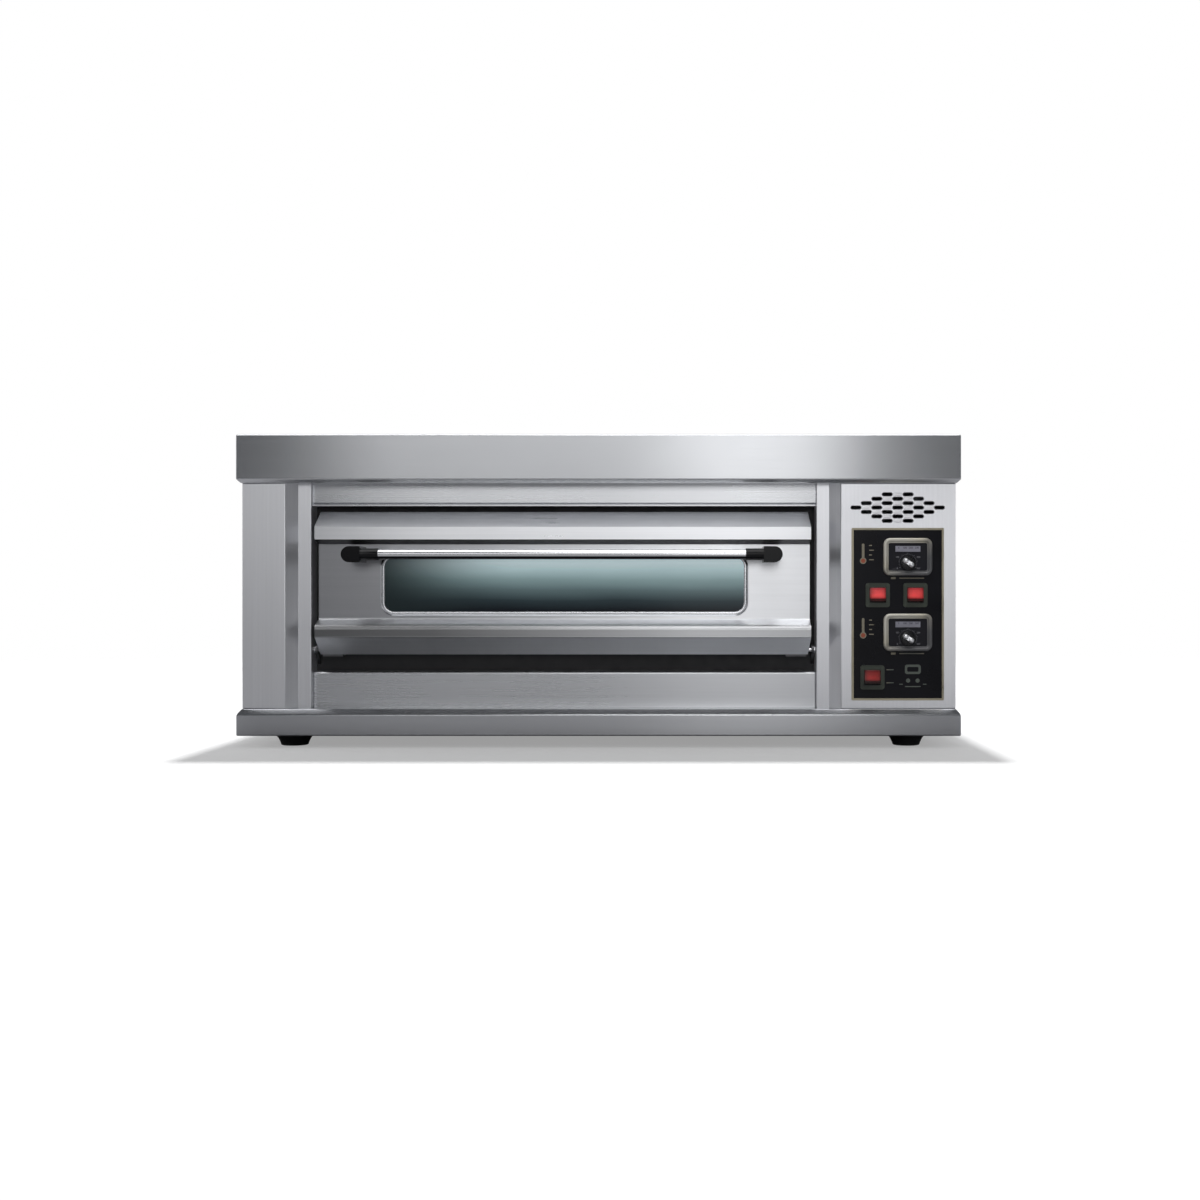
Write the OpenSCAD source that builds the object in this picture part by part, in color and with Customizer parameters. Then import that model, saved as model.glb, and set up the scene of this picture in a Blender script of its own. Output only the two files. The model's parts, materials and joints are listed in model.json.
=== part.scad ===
// Electric deck oven, one baking chamber with a drop-down glazed door.
// Millimetres. +Z is up, the front faces -Y, the origin is under the middle of the footprint at foot level.

/* [Cabinet] */
// Width over the crown and the base
overall_width = 1220; // [1100:10:1400]
// Depth of the crown and the base
cabinet_depth = 790; // [700:10:900]
// Height over the crown, from the floor
overall_height = 528; // [500:1:600]
// How far the body stands in from the crown on each side
body_inset = 7; // [3:1:15]
// Thickness of the outer steel sheet
sheet = 1.5; // [1:0.1:2]

/* [Base, feet and crown] */
// Height of a rubber foot
foot_height = 20; // [15:1:60]
// Radius of a foot at the floor
foot_r_floor = 23; // [18:1:35]
// Radius of a foot under the base
foot_r_top = 31; // [20:1:45]
// Foot centres from the middle, sideways
foot_x = 525; // [450:5:560]
// Foot centres from the middle, front to back
foot_y = 335; // [250:5:350]
// Height of the base tray
base_rise = 45; // [35:1:60]
// Height of the sloped shoulder round the base
shoulder = 9; // [5:1:15]
// Height of the crown
crown_rise = 82; // [60:1:110]
// Height of the bevel under the crown
crown_bevel = 6; // [3:1:10]

/* [Front layout] */
// Depth of the pillar faces behind the crown
face_depth = 15; // [5:1:30]
// Depth of the narrow trims beside the door
trim_depth = 35; // [20:1:45]
// Middle of the door opening from the middle of the oven
door_x = -61; // [-120:1:0]
// Width of the door opening between the trims
opening_width = 860; // [800:5:900]
// Width of one trim
trim_width = 22; // [10:1:40]
// Width of the angled reveal between trim and pillar face
reveal_width = 18; // [10:1:30]
// Depth of the panel above the door
fascia_depth = 48; // [40:1:60]
// Height of the lower edge of the panel above the door
fascia_z = 409; // [405:1:420]
// Depth of the kick panel
kick_depth = 52; // [50:1:60]
// Height of the top edge of the kick panel
kick_top = 126; // [110:1:128]
// Depth of the front frame round the chamber mouth
frame_depth = 79; // [75:1:90]

/* [Door] */
// Width of the door
door_width = 839; // [800:1:845]
// Top edge of the door
door_top = 399; // [390:1:402]
// Lower edge of the door
door_foot = 155.5; // [150:0.5:160]
// Depth of the proud upper and lower bands
band_depth = 12; // [5:1:20]
// Depth of the recessed middle of the door
panel_depth = 45; // [30:1:50]
// Depth of the door's back face
door_back = 75; // [70:1:78]
// Window height of the lower edge
window_low = 229; // [225:1:240]
// Window height of the upper edge
window_high = 321; // [300:1:330]
// Window width
window_width = 613; // [400:1:700]
// Window corner radius
window_r = 16; // [5:1:25]
// Hinge line depth behind the crown
pivot_depth = 60; // [58:1:62]
// Hinge line height
pivot_z = 163; // [160:1:168]
// Hinge pin radius
pin_r = 4; // [3:0.5:6]
// Handle bar radius
bar_r = 8.5; // [6:0.5:12]
// Handle bar height
bar_z = 325.5; // [318:0.5:335]
// Handle bar centre in front of the crown
bar_out = 2.5; // [0:0.5:20]
// Handle length over its two end blocks
handle_width = 740; // [500:5:760]

/* [Chamber] */
// Inside width of the baking chamber
chamber_width = 810; // [700:5:820]
// Inside depth of the baking chamber
chamber_depth = 638; // [600:2:660]
// Baking deck surface height
deck_z = 186; // [180:1:200]
// Chamber roof height
roof_z = 382; // [350:1:390]
// Chamber sheet thickness
liner = 1.5; // [1:0.1:2]
// Heating rod radius
rod_r = 4; // [3:0.5:6]

/* [Controls] */
// Middle of the control overlay, sideways
panel_x = 505; // [480:1:520]
// Overlay width
panel_width = 156; // [120:1:170]
// Overlay lower edge
panel_low = 79; // [70:1:90]
// Overlay upper edge
panel_high = 370.5; // [350:0.5:380]
// Controller centre, sideways
dial_x = 521.5; // [500:0.5:540]
// Upper controller height
dial_high = 321.5; // [300:0.5:340]
// Lower controller height
dial_low = 194; // [150:0.5:250]
// Knob radius
knob_r = 12.5; // [8:0.5:12.5]
// Angle of the knob grip at rest
grip_angle = 34; // [0:1:90]
// Rocker tilt each way from level
rocker_tilt = 8; // [4:1:10]

/* [Hidden] */
eps = 0.01;
front = -cabinet_depth / 2;
back = cabinet_depth / 2;
half = overall_width / 2;
body = half - body_inset;
base_top = foot_height + base_rise;
crown_low = overall_height - crown_rise;
face_y = front + face_depth;
trim_y = front + trim_depth;
frame_y = front + frame_depth;
rear_y = back - 10;
open_l = door_x - opening_width / 2;
open_r = door_x + opening_width / 2;
pivot_y = front + pivot_depth;
door_l = door_x - door_width / 2;
door_r = door_x + door_width / 2;
door_y = front + panel_depth;
door_rear = front + door_back;
ch_l = door_x - chamber_width / 2;
ch_r = door_x + chamber_width / 2;
ch_front = frame_y + liner;
ch_back = ch_front + chamber_depth;
wall_low = 158.5;
duct_x = door_x;
duct_z = 338;
duct_r = 20;
gland_x = 520;
gland_z = 112;
rear_tip = 407.5;
divider_x = open_r + 8;
rod_rows = [-190, 10, 210];
rod_bend = 40;
rod_high = roof_z - 14;
rod_low = deck_z - 15;
rod_tip = 402;
overlay_y = face_y - 1;
dial_y = overlay_y - 5;
switches = [[471, 257], [534.5, 257], [462, 118]];
lamp = [-425, 330];
slot_pitch_x = 35.3;
slot_pitch_z = 7.45;
slot_rows = [2, 3, 4, 5, 4, 3, 2];
slot_len = 16;
slot_w = 4.6;
slot_z = 405;
$fn = 64;

// ---- helpers ----

// A box given by its low and high corners.
module box(a, b) {
    translate(a) cube(b - a);
}

function unit(v) = v / norm(v);
function side(a, b) = let (d = unit(b - a)) [-d[1], d[0]];
function mitre(a, b, c) = let (m = side(a, b), n = side(b, c)) (m + n) / (1 + m * n);
function shifted(p, t) = let (n = len(p) - 1) [for (i = [0:n])
    p[i] + t * (i == 0 ? side(p[0], p[1]) : i == n ? side(p[n - 1], p[n]) : mitre(p[i - 1], p[i], p[i + 1]))];
function reversed(p) = [for (i = [len(p) - 1:-1:0]) p[i]];

// A folded sheet seen edge on: the line p, t thick on its left-hand side.
module folded(p, t) {
    polygon(concat(p, reversed(shifted(p, t))));
}

// A profile drawn in (y, z), extruded along X from x0 to x1.
module along_x(x0, x1) {
    translate([x0, 0, 0]) rotate([90, 0, 90]) linear_extrude(x1 - x0) children();
}

// A profile drawn in (x, z), extruded along Y from y0 to y1.
module along_y(y0, y1) {
    translate([0, y1, 0]) rotate([90, 0, 0]) linear_extrude(y1 - y0) children();
}

// A rod of radius r along Y.
module rod_y(x, z, y0, y1, r) {
    translate([x, y0, z]) rotate([-90, 0, 0]) cylinder(h = y1 - y0, r = r);
}

// A rod of radius r along X.
module rod_x(y, z, x0, x1, r) {
    translate([x0, y, z]) rotate([0, 90, 0]) cylinder(h = x1 - x0, r = r);
}

// A rectangle with round corners, from low corner a to high corner b.
module soft(a, b, r) {
    translate([a[0] + r, a[1]]) square([b[0] - a[0] - 2 * r, b[1] - a[1]]);
    translate([a[0], a[1] + r]) square([b[0] - a[0], b[1] - a[1] - 2 * r]);
    for (x = [a[0] + r, b[0] - r], z = [a[1] + r, b[1] - r]) translate([x, z]) circle(r = r);
}

// A soft rectangle by centre and size.
module soft_at(x, z, w, h, r) {
    soft([x - w / 2, z - h / 2], [x + w / 2, z + h / 2], r);
}

// ---- base, feet and crown ----

module base_form(inset) {
    f = cabinet_depth / 2 - inset;
    s = half - inset;
    lo = foot_height + inset;
    hi = base_top - inset;
    k = inset * 0.4;
    intersection() {
        along_x(-half, half) polygon([[-f, lo], [f, lo], [f, hi - shoulder + k], [f - shoulder + k, hi],
            [-f + shoulder - k, hi], [-f, hi - shoulder + k]]);
        along_y(front, back) polygon([[-s, lo], [s, lo], [s, hi - shoulder + k],
            [s - body_inset + k, hi], [-s + body_inset - k, hi], [-s, hi - shoulder + k]]);
    }
}

module at_feet(z) {
    for (x = [-foot_x, foot_x], y = [-foot_y, foot_y]) translate([x, y, z]) children();
}

module base_plinth() {
    color("silver") difference() {
        base_form(0);
        base_form(sheet);
        box([-half + 50, frame_y, base_top - 5], [half - 50, back - 30, base_top + 1]);
        at_feet(foot_height - 1) cylinder(h = 5, r = 5.1);
    }
}

module rubber_feet() {
    color("dimgray") at_feet(0) difference() {
        cylinder(h = foot_height, r1 = foot_r_floor, r2 = foot_r_top);
        translate([0, 0, 6]) cylinder(h = foot_height, r = 5.1);
    }
}

module foot_bolts() {
    color("gray") at_feet(6) {
        cylinder(h = foot_height + sheet - 6, r = 5);
        translate([0, 0, foot_height + sheet - 6]) cylinder(h = 6, r = 9.2, $fn = 6);
    }
}

module crown_form(inset) {
    f = cabinet_depth / 2 - inset;
    s = half - inset;
    lo = crown_low + inset;
    hi = overall_height - inset;
    k = inset * 0.4;
    intersection() {
        along_x(-half, half) polygon([[-f + crown_bevel - k, lo], [f - crown_bevel + k, lo],
            [f, lo + crown_bevel - k], [f, hi - 2], [f - 2, hi], [-f + 2, hi], [-f, hi - 2],
            [-f, lo + crown_bevel - k]]);
        along_y(front, back) polygon([[-s + crown_bevel - k, lo], [s - crown_bevel + k, lo],
            [s, lo + crown_bevel - k], [s, hi - 2], [s - 2, hi], [-s + 2, hi], [-s, hi - 2],
            [-s, lo + crown_bevel - k]]);
    }
}

module crown_cover() {
    color("silver") difference() {
        crown_form(0);
        crown_form(sheet);
        box([-half + 40, frame_y + 8, crown_low - 1], [half - 40, back - 30, crown_low + 5]);
    }
}

// ---- body panels ----

module left_side_panel() {
    color("silver") box([-body, face_y + sheet, base_top], [-body + sheet, rear_y, crown_low]);
}

// Louvre slots that cool the control compartment.
module side_slots() {
    for (y = [120, 230, 340], i = [0:9])
        translate([body, y, 120 + 14 * i]) rotate([90, 0, 90]) linear_extrude(10, center = true)
            soft_at(0, 0, 80, 5, 2.4);
}

module right_side_panel() {
    color("silver") difference() {
        box([body - sheet, face_y + sheet, base_top], [body, rear_y, crown_low]);
        side_slots();
    }
}

module at_screws() {
    for (x = [-560, -300, 0, 300, 585], z = [base_top + 12, crown_low - 12]) translate([x, 0, z]) children();
    for (x = [-590, 590], z = [190, 320]) translate([x, 0, z]) children();
}

module back_panel() {
    color("silver") difference() {
        box([-body + sheet, rear_y - sheet, base_top], [body - sheet, rear_y, crown_low]);
        rod_y(duct_x, duct_z, rear_y - 5, rear_y + 5, duct_r + 0.1);
        rod_y(gland_x, gland_z, rear_y - 5, rear_y + 5, 10.5);
        rod_y(gland_x + 50, gland_z, rear_y - 5, rear_y + 5, 4.1);
        at_screws() rotate([90, 0, 0]) cylinder(h = 2 * rear_y + 20, r = 2.1, center = true);
        for (x = [440, 532], i = [0:9])
            along_y(rear_y - 5, rear_y + 5) soft_at(x, 220 + 14 * i, 74, 5, 2.4);
    }
}

module panel_screws() {
    color("gainsboro") at_screws() {
        rod_y(0, 0, rear_y - 3, rear_y + eps, 2);
        rod_y(0, 0, rear_y, rear_y + 2.4, 4.5);
    }
}

// ---- front sheets ----

module left_pillar() {
    color("silver") translate([0, 0, base_top]) linear_extrude(crown_low - base_top)
        folded([[-body, face_y], [open_l - trim_width - reveal_width, face_y],
            [open_l - trim_width, trim_y], [open_l, trim_y], [open_l, frame_y]], sheet);
}

// The louvre pattern over the controls: slots in a diamond.
module vent_slots() {
    for (r = [0:6]) for (c = [0:slot_rows[r] - 1])
        along_y(face_y - 5, face_y + 5) soft_at(panel_x + slot_pitch_x * (c - (slot_rows[r] - 1) / 2),
            slot_z + slot_pitch_z * (3 - r), slot_len, slot_w, slot_w / 2 - eps);
}

module control_cutouts(grow) {
    for (z = [dial_high, dial_low]) along_y(face_y - 5, face_y + 5)
        soft_at(dial_x, z, 66 + grow, 48 + grow, 3);
    for (s = switches) along_y(face_y - 5, face_y + 5) soft_at(s[0], s[1], 32.4 + grow, 30.4 + grow, 2);
}

module control_fascia() {
    color("silver") difference() {
        translate([0, 0, base_top]) linear_extrude(crown_low - base_top)
            folded([[open_r, frame_y], [open_r, trim_y], [open_r + trim_width, trim_y],
                [open_r + trim_width + reveal_width, face_y], [body, face_y]], sheet);
        vent_slots();
        control_cutouts(1);
    }
}

module top_fascia() {
    y = front + fascia_depth;
    color("silver") along_x(open_l, open_r)
        folded([[y + 26, fascia_z], [y - 3, fascia_z], [y - 3, fascia_z + 3], [y, fascia_z + 6],
            [y, crown_low]], -sheet);
}

module kick_panel() {
    y = front + kick_depth;
    color("silver") along_x(open_l, open_r)
        folded([[y, base_top], [y, kick_top - 3], [y + 3, kick_top], [frame_y, kick_top]], -sheet);
}

module hinge_rail() {
    color("dimgray") difference() {
        box([open_l, frame_y, base_top], [open_r, frame_y + 30, 157]);
        box([open_l - 1, frame_y + 2, base_top + 2], [open_r + 1, frame_y + 31, 155]);
    }
}

module front_frame() {
    color("silver") difference() {
        box([open_l, frame_y, wall_low + liner], [open_r, frame_y + liner, crown_low]);
        box([ch_l, frame_y - 1, deck_z], [ch_r, frame_y + 5, roof_z]);
    }
}

// ---- baking chamber ----

module deck_plate() {
    color("gray") difference() {
        box([ch_l + 1, ch_front, deck_z - 3], [ch_r - 1, ch_back - 1, deck_z]);
        for (x = [ch_l + 30, ch_r - 30], y = [-250:50:280]) translate([x, y, deck_z - 5]) cylinder(h = 8, r = 5);
    }
}

module chamber_base() {
    color("gray") box([ch_l - liner, ch_front, wall_low], [ch_r + liner, ch_back + liner, wall_low + liner]);
}

module chamber_roof() {
    color("gray") box([ch_l, ch_front, roof_z], [ch_r, ch_back, roof_z + liner]);
}

// Holes for the heating rods and the two probes, through everything between the chamber and the controls.
module service_holes(grow) {
    for (z = [rod_high, rod_low], y = rod_rows, s = [-1, 1])
        rod_x(y + s * rod_bend, z, ch_r - 3, divider_x + 5, rod_r + grow);
    for (z = [rod_high - 10, deck_z - 7]) rod_x(-80, z, ch_r - 3, divider_x + 5, 3 + grow);
}

module chamber_sides() {
    color("gray") difference() {
        for (x = [ch_l - liner, ch_r])
            box([x, ch_front, wall_low + liner], [x + liner, ch_back, roof_z + liner]);
        service_holes(0.3);
        for (x = [ch_l, ch_r]) for (z = [210, 240]) for (y = [-200, 200])
            translate([x, y, z]) rotate([0, 90, 0]) cylinder(h = 8, r = 3, center = true);
    }
}

module chamber_back() {
    color("gray") difference() {
        box([ch_l - liner, ch_back, wall_low + liner], [ch_r + liner, ch_back + liner, roof_z + liner]);
        rod_y(duct_x, duct_z, ch_back - 5, ch_back + 5, duct_r + 0.1);
        rod_y(lamp[0], lamp[1], ch_back - 5, ch_back + 5, 19.2);
    }
}

module compartment_wall() {
    color("silver") difference() {
        box([divider_x, frame_y + 32, base_top], [divider_x + liner, rear_y - sheet, crown_low - 1]);
        service_holes(0.3);
    }
}

module chamber_insulation() {
    color("khaki") difference() {
        union() {
            box([open_l, ch_front, roof_z + liner], [divider_x, ch_back, crown_low - 2]);
            box([open_l, ch_front + 32, base_top + 6], [divider_x, ch_back, wall_low]);
            box([open_l, ch_front, wall_low], [ch_l - liner, ch_back, roof_z + liner]);
            box([ch_r + liner, ch_front, wall_low], [divider_x, ch_back, roof_z + liner]);
            box([open_l, ch_back + liner, base_top + 6], [divider_x, rear_y - sheet - 2, crown_low - 2]);
        }
        service_holes(0.3);
        rod_y(duct_x, duct_z, ch_back - 5, rear_y, duct_r + 0.5);
        rod_y(lamp[0], lamp[1], ch_back - 5, ch_back + 36, 23.5);
        box([open_l - 1, ch_back - 4, base_top], [ch_l - liner, ch_back + 4, crown_low]);
    }
}

// One hairpin heating rod lying in X, bent at its left end.
module hairpin(y, z) {
    x0 = ch_l + 60;
    for (s = [-1, 1]) rod_x(y + s * rod_bend, z, x0 - 1, rod_tip, rod_r - 0.2);
    translate([x0, y, z]) difference() {
        rotate_extrude() translate([rod_bend, 0]) circle(r = rod_r);
        box([0, -2 * rod_bend, -2 * rod_r], [2 * rod_bend, 2 * rod_bend, 2 * rod_r]);
    }
}

module upper_elements() {
    $fn = 32;
    color("dimgray") for (y = rod_rows) hairpin(y, rod_high);
}

module lower_elements() {
    $fn = 32;
    color("dimgray") for (y = rod_rows) hairpin(y, rod_low);
}

module chamber_supports() {
    color("gray") for (x = [ch_l + 180, door_x + 60, ch_r - 140], y = rod_rows) {
        box([x - 1, y - rod_bend - 8, rod_high + rod_r], [x + 1, y + rod_bend + 8, roof_z]);
        box([x - 1, y - rod_bend - 8, wall_low + liner], [x + 1, y + rod_bend + 8, rod_low - rod_r]);
    }
    color("gray") for (y = [ch_front, ch_back - 4])
        box([ch_l, y, wall_low + liner], [ch_r, y + 3, deck_z - 3]);
}

module element_terminals() {
    color("white") for (z = [rod_high, rod_low], y = rod_rows, s = [-1, 1])
        translate([rod_tip, y + s * rod_bend, z]) rotate([0, 90, 0]) {
            cylinder(h = 10, r = 6.5);
            cylinder(h = 20, r = 2);
        }
}

module thermocouples() {
    color("silver") for (z = [rod_high - 10, deck_z - 7]) rod_x(-80, z, ch_r - 90, divider_x + 30, 3);
}

module lamp_housing() {
    color("silver") difference() {
        union() {
            rod_y(lamp[0], lamp[1], ch_back - 3, ch_back, 25);
            rod_y(lamp[0], lamp[1], ch_back - eps, ch_back + 32, 19);
            rod_y(lamp[0], lamp[1], ch_back + liner, ch_back + 6, 23);
        }
        rod_y(lamp[0], lamp[1], ch_back - 5, ch_back + 30, 16.5);
        rod_y(lamp[0], lamp[1], ch_back - 6, ch_back - 1.5, 22.1);
    }
}

module lamp_lens() {
    color("white") intersection() {
        rod_y(lamp[0], lamp[1], ch_back - 20, ch_back - 1.5, 22);
        translate([lamp[0], ch_back + 4, lamp[1]]) sphere(r = 24);
    }
}

// ---- rear fittings ----

module steam_duct() {
    color("silver") difference() {
        union() {
            rod_y(duct_x, duct_z, ch_back, rear_tip, duct_r);
            rod_y(duct_x, duct_z, rear_y, rear_y + 2, duct_r + 12);
        }
        rod_y(duct_x, duct_z, ch_back - 1, rear_tip + 1, duct_r - 1.5);
    }
}

module cable_gland() {
    color("dimgray") difference() {
        union() {
            rod_y(gland_x, gland_z, rear_y - 12, rear_y + eps, 10.4);
            translate([gland_x, rear_y, gland_z]) rotate([-90, 30, 0]) cylinder(h = 7, r = 16, $fn = 6);
            translate([gland_x, rear_y + 6, gland_z]) rotate([-90, 0, 0])
                cylinder(h = rear_tip - rear_y - 6, r1 = 13, r2 = 11);
            translate([gland_x, rear_y - 6.5, gland_z]) rotate([-90, 30, 0]) cylinder(h = 5, r = 15, $fn = 6);
        }
        rod_y(gland_x, gland_z, rear_y - 13, rear_tip + 1, 6);
    }
}

module bonding_stud() {
    x = gland_x + 50;
    color("gold") {
        rod_y(x, gland_z, rear_y - 12, rear_y + 20, 4);
        translate([x, rear_y, gland_z]) rotate([-90, 0, 0]) cylinder(h = 5, r = 7.5, $fn = 6);
        rod_y(x, gland_z, rear_y - 4, rear_y - sheet, 8);
    }
}

// ---- electrical gear ----

module contactors() {
    x = 500;
    color("gainsboro") {
        box([x - 40, -60, base_top + 4], [x - 36, 260, base_top + 90]);
        for (y = [-40, 30, 100]) {
            box([x - 36, y, base_top + 14], [x + 30, y + 55, base_top + 80]);
            box([x + 30, y + 5, base_top + 30], [x + 42, y + 50, base_top + 64]);
        }
        box([x - 36, 180, base_top + 20], [x - 6, 250, base_top + 55]);
    }
}

module wiring_loom() {
    y1 = -rod_bend + rod_rows[0];
    y2 = rod_bend + rod_rows[2];
    color("firebrick") for (z = [rod_high, rod_low]) {
        translate([rod_tip + 28, 0, z]) rotate([-90, 0, 0]) translate([0, 0, y1 - 10]) cylinder(h = y2 - y1 + 20, r = 6);
        for (y = rod_rows, s = [-1, 1]) rod_x(y + s * rod_bend, z, rod_tip + 20, rod_tip + 26, 3.5);
    }
    color("firebrick") {
        translate([rod_tip + 28, 150, base_top + 75]) cylinder(h = rod_high - base_top - 75, r = 7);
        rod_x(150, base_top + 75, rod_tip + 28, 459, 7);
    }
}

// ---- control panel ----

module control_overlay() {
    color("black") difference() {
        along_y(overlay_y, face_y) soft([panel_x - panel_width / 2 + 3.5, panel_low + 3.5],
            [panel_x + panel_width / 2 - 3.5, panel_high - 3.5], 1);
        control_cutouts(0.6);
    }
}

module overlay_trim() {
    color("goldenrod") along_y(overlay_y - 0.4, face_y) difference() {
        soft([panel_x - panel_width / 2, panel_low], [panel_x + panel_width / 2, panel_high], 2);
        soft([panel_x - panel_width / 2 + 3.5, panel_low + 3.5],
            [panel_x + panel_width / 2 - 3.5, panel_high - 3.5], 1);
    }
}

// A thermometer sign with scale ticks beside it.
module thermometer(x, z) {
    translate([x, z]) {
        translate([0, -9]) circle(r = 5.5);
        translate([-2.2, -8]) square([4.4, 26]);
        translate([0, 18]) circle(r = 2.2);
        for (k = [0:3]) translate([10, -8 + 8 * k]) square([k % 2 == 0 ? 8 : 5, 1.6]);
    }
}

// A small oven sign: a window over two dials.
module oven_sign(x, z) {
    translate([x, z]) {
        difference() {
            soft_at(0, 10, 27, 16, 4);
            soft_at(0, 10, 19, 8, 2);
        }
        for (s = [-1, 1]) translate([8 * s, -9]) circle(r = 3.6);
        translate([-13, -20]) square([26, 1.8]);
        for (s = [-1, 1]) translate([s * 20 - 3, -16]) square([6, 1.6]);
    }
}

module overlay_print() {
    color("tan") along_y(overlay_y - 0.25, overlay_y) {
        thermometer(446.5, 324);
        thermometer(446.5, 198);
        oven_sign(530.5, 121.5);
        for (z = [dial_high - 36, dial_low - 36]) {
            translate([dial_x - 28, z - 1.5]) square([8, 3.4]);
            translate([dial_x - 14, z - 0.7]) square([42, 1.6]);
        }
        for (z = [108, 130]) translate([486, z]) square([12, 1.6]);
    }
}

module controller_bodies() {
    color("black") for (z = [dial_high, dial_low]) difference() {
        along_y(dial_y, overlay_y + 90) soft_at(dial_x, z, 65, 46.6, 2.5);
        rod_y(dial_x, z - 10, dial_y - 1, dial_y + 20, 3.06);
        along_y(dial_y - 1, dial_y + 0.8) square_at(dial_x, z + 13.5, 42, 9.6);
    }
}

module square_at(x, z, w, h) {
    translate([x - w / 2, z - h / 2]) square([w, h]);
}

module controller_bezels() {
    color("tan") for (z = [dial_high, dial_low]) difference() {
        along_y(overlay_y - 8, overlay_y) soft_at(dial_x, z, 82, 61.5, 7);
        along_y(overlay_y - 9, overlay_y + 1) soft_at(dial_x, z, 65.4, 47, 3);
        along_y(overlay_y - 9, overlay_y - 5.5) soft_at(dial_x, z, 70, 51.5, 4);
    }
}

module scale_strips() {
    color("lightgray") for (z = [dial_high, dial_low]) {
        along_y(dial_y - 0.2, dial_y + 0.8) square_at(dial_x, z + 13.5, 42, 9.6);
    }
}

module knob(z) {
    color("black") {
        rod_y(dial_x, z - 10, dial_y - 3.5, dial_y - 0.5, knob_r);
        rod_y(dial_x, z - 10, dial_y - 6.5, dial_y - 3.5, knob_r - 2);
        rod_y(dial_x, z - 10, dial_y - 0.5 - eps, dial_y + 18, 3);
    }
}

// The bright finger grip across a knob, pointing up to the left at rest.
module grip(z) {
    y = dial_y - 6.5;
    color("white") translate([dial_x, 0, z - 10]) rotate([0, grip_angle, 0])
        along_y(y - 8, y) difference() {
            soft_at(0, 0, 22, 9, 4.4);
            square_at(-6, 0, 8, 1);
        }
}

module upper_knob() {
    knob(dial_high);
}

module upper_grip() {
    grip(dial_high);
}

module lower_knob() {
    knob(dial_low);
}

module lower_grip() {
    grip(dial_low);
}

module switch_housings() {
    color("black") for (s = switches) difference() {
        union() {
            along_y(overlay_y - 3.5, overlay_y) soft_at(s[0], s[1], 41, 41, 5);
            along_y(overlay_y - eps, overlay_y + 24) soft_at(s[0], s[1], 32, 30, 2);
        }
        along_y(overlay_y - 4, overlay_y + 9) square_at(s[0], s[1], 27.8, 25.8);
        rod_x(overlay_y + 1, s[1], s[0] - 15.2, s[0] + 15.2, 1.27);
    }
}

// A rocker lens on two trunnions, its upper half pressed in at rest.
module rocker(s) {
    color("red") translate([s[0], overlay_y + 1, s[1]]) rotate([-rocker_tilt, 0, 0]) {
        along_x(-13.5, 13.5) polygon([[-8, 11.5], [-6.4, 0], [-8, -11.5], [3, -9.5], [3, 9.5]]);
        rod_x(0, 0, -14.8, 14.8, 1.2);
    }
}

module left_rocker() {
    rocker(switches[0]);
}

module right_rocker() {
    rocker(switches[1]);
}

module lamp_rocker() {
    rocker(switches[2]);
}

// ---- hinge ----

module hinge_brackets() {
    color("dimgray") for (x = [open_l + 2.5, open_r - 6.5]) along_x(x, x + 4) difference() {
        union() {
            translate([pivot_y, pivot_z]) circle(r = 9);
            polygon([[pivot_y, pivot_z + 9], [pivot_y - 9, pivot_z], [pivot_y + 4, pivot_z - 15],
                [frame_y, pivot_z - 25], [frame_y, pivot_z - 7], [frame_y - 3, pivot_z + 2]]);
        }
        translate([pivot_y, pivot_z]) circle(r = pin_r);
    }
}

module hinge_pins() {
    color("silver") {
        rod_x(pivot_y, pivot_z, open_l + 2.5, door_l + 36, pin_r);
        rod_x(pivot_y, pivot_z, open_l + 0.5, open_l + 2.5, 7);
        rod_x(pivot_y, pivot_z, door_r - 36, open_r - 2.5, pin_r);
        rod_x(pivot_y, pivot_z, open_r - 2.5, open_r - 0.5, 7);
    }
}

// ---- door ----

function door_line(t) = let (b = front + band_depth + t, p = door_y + t, k = t * 0.35)
    [[door_rear + 1, door_top - t], [p, door_top - t], [b, 372 - k], [b, 351 + k], [p, 344 + k],
        [p, 216 - k], [b, 205 - k], [b, 186 + k], [p, door_foot + t], [door_rear + 1, door_foot + t]];

function door_outline(t) = let (a = door_l + t, b = door_r - t)
    [[a, 186], [a, 372], [a + 3, door_top], [b - 3, door_top], [b, 372], [b, 186],
        [b - 3, door_foot], [a + 3, door_foot]];

module door_form(t) {
    intersection() {
        along_x(door_l, door_r) polygon(door_line(t));
        along_y(front, frame_y) polygon(door_outline(t));
    }
}

module window_hole(grow, y0, y1) {
    along_y(y0, y1) soft([door_x - window_width / 2 - grow, window_low - grow],
        [door_x + window_width / 2 + grow, window_high + grow], window_r + grow);
}

// The two blocks at the foot of the door that turn on the pins.
module knuckle_space(g) {
    for (x = [[door_l + 5.5, door_l + 40], [door_r - 40, door_r - 5.5]])
        box([x[0] - g, pivot_y - 10 - g, pivot_z - 11 - g], [x[1] + g, pivot_y + 10 + g, pivot_z + 10 + g]);
}

module door_panel() {
    color("silver") difference() {
        door_form(0);
        door_form(sheet);
        box([door_l - 1, door_rear - liner, door_foot - 1], [door_r + 1, frame_y, door_top + 1]);
        box([door_l + 2, pivot_y - 12, door_foot - 1], [door_r - 2, frame_y, door_foot + 10]);
        window_hole(0, door_y - 5, door_y + 5);
        rod_x(pivot_y, pivot_z, door_l - 1, door_r + 1, pin_r + 1);
        at_handle_screws() rod_y(0, 0, door_y - 5, door_y + 5, 2.8);
    }
}

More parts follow.
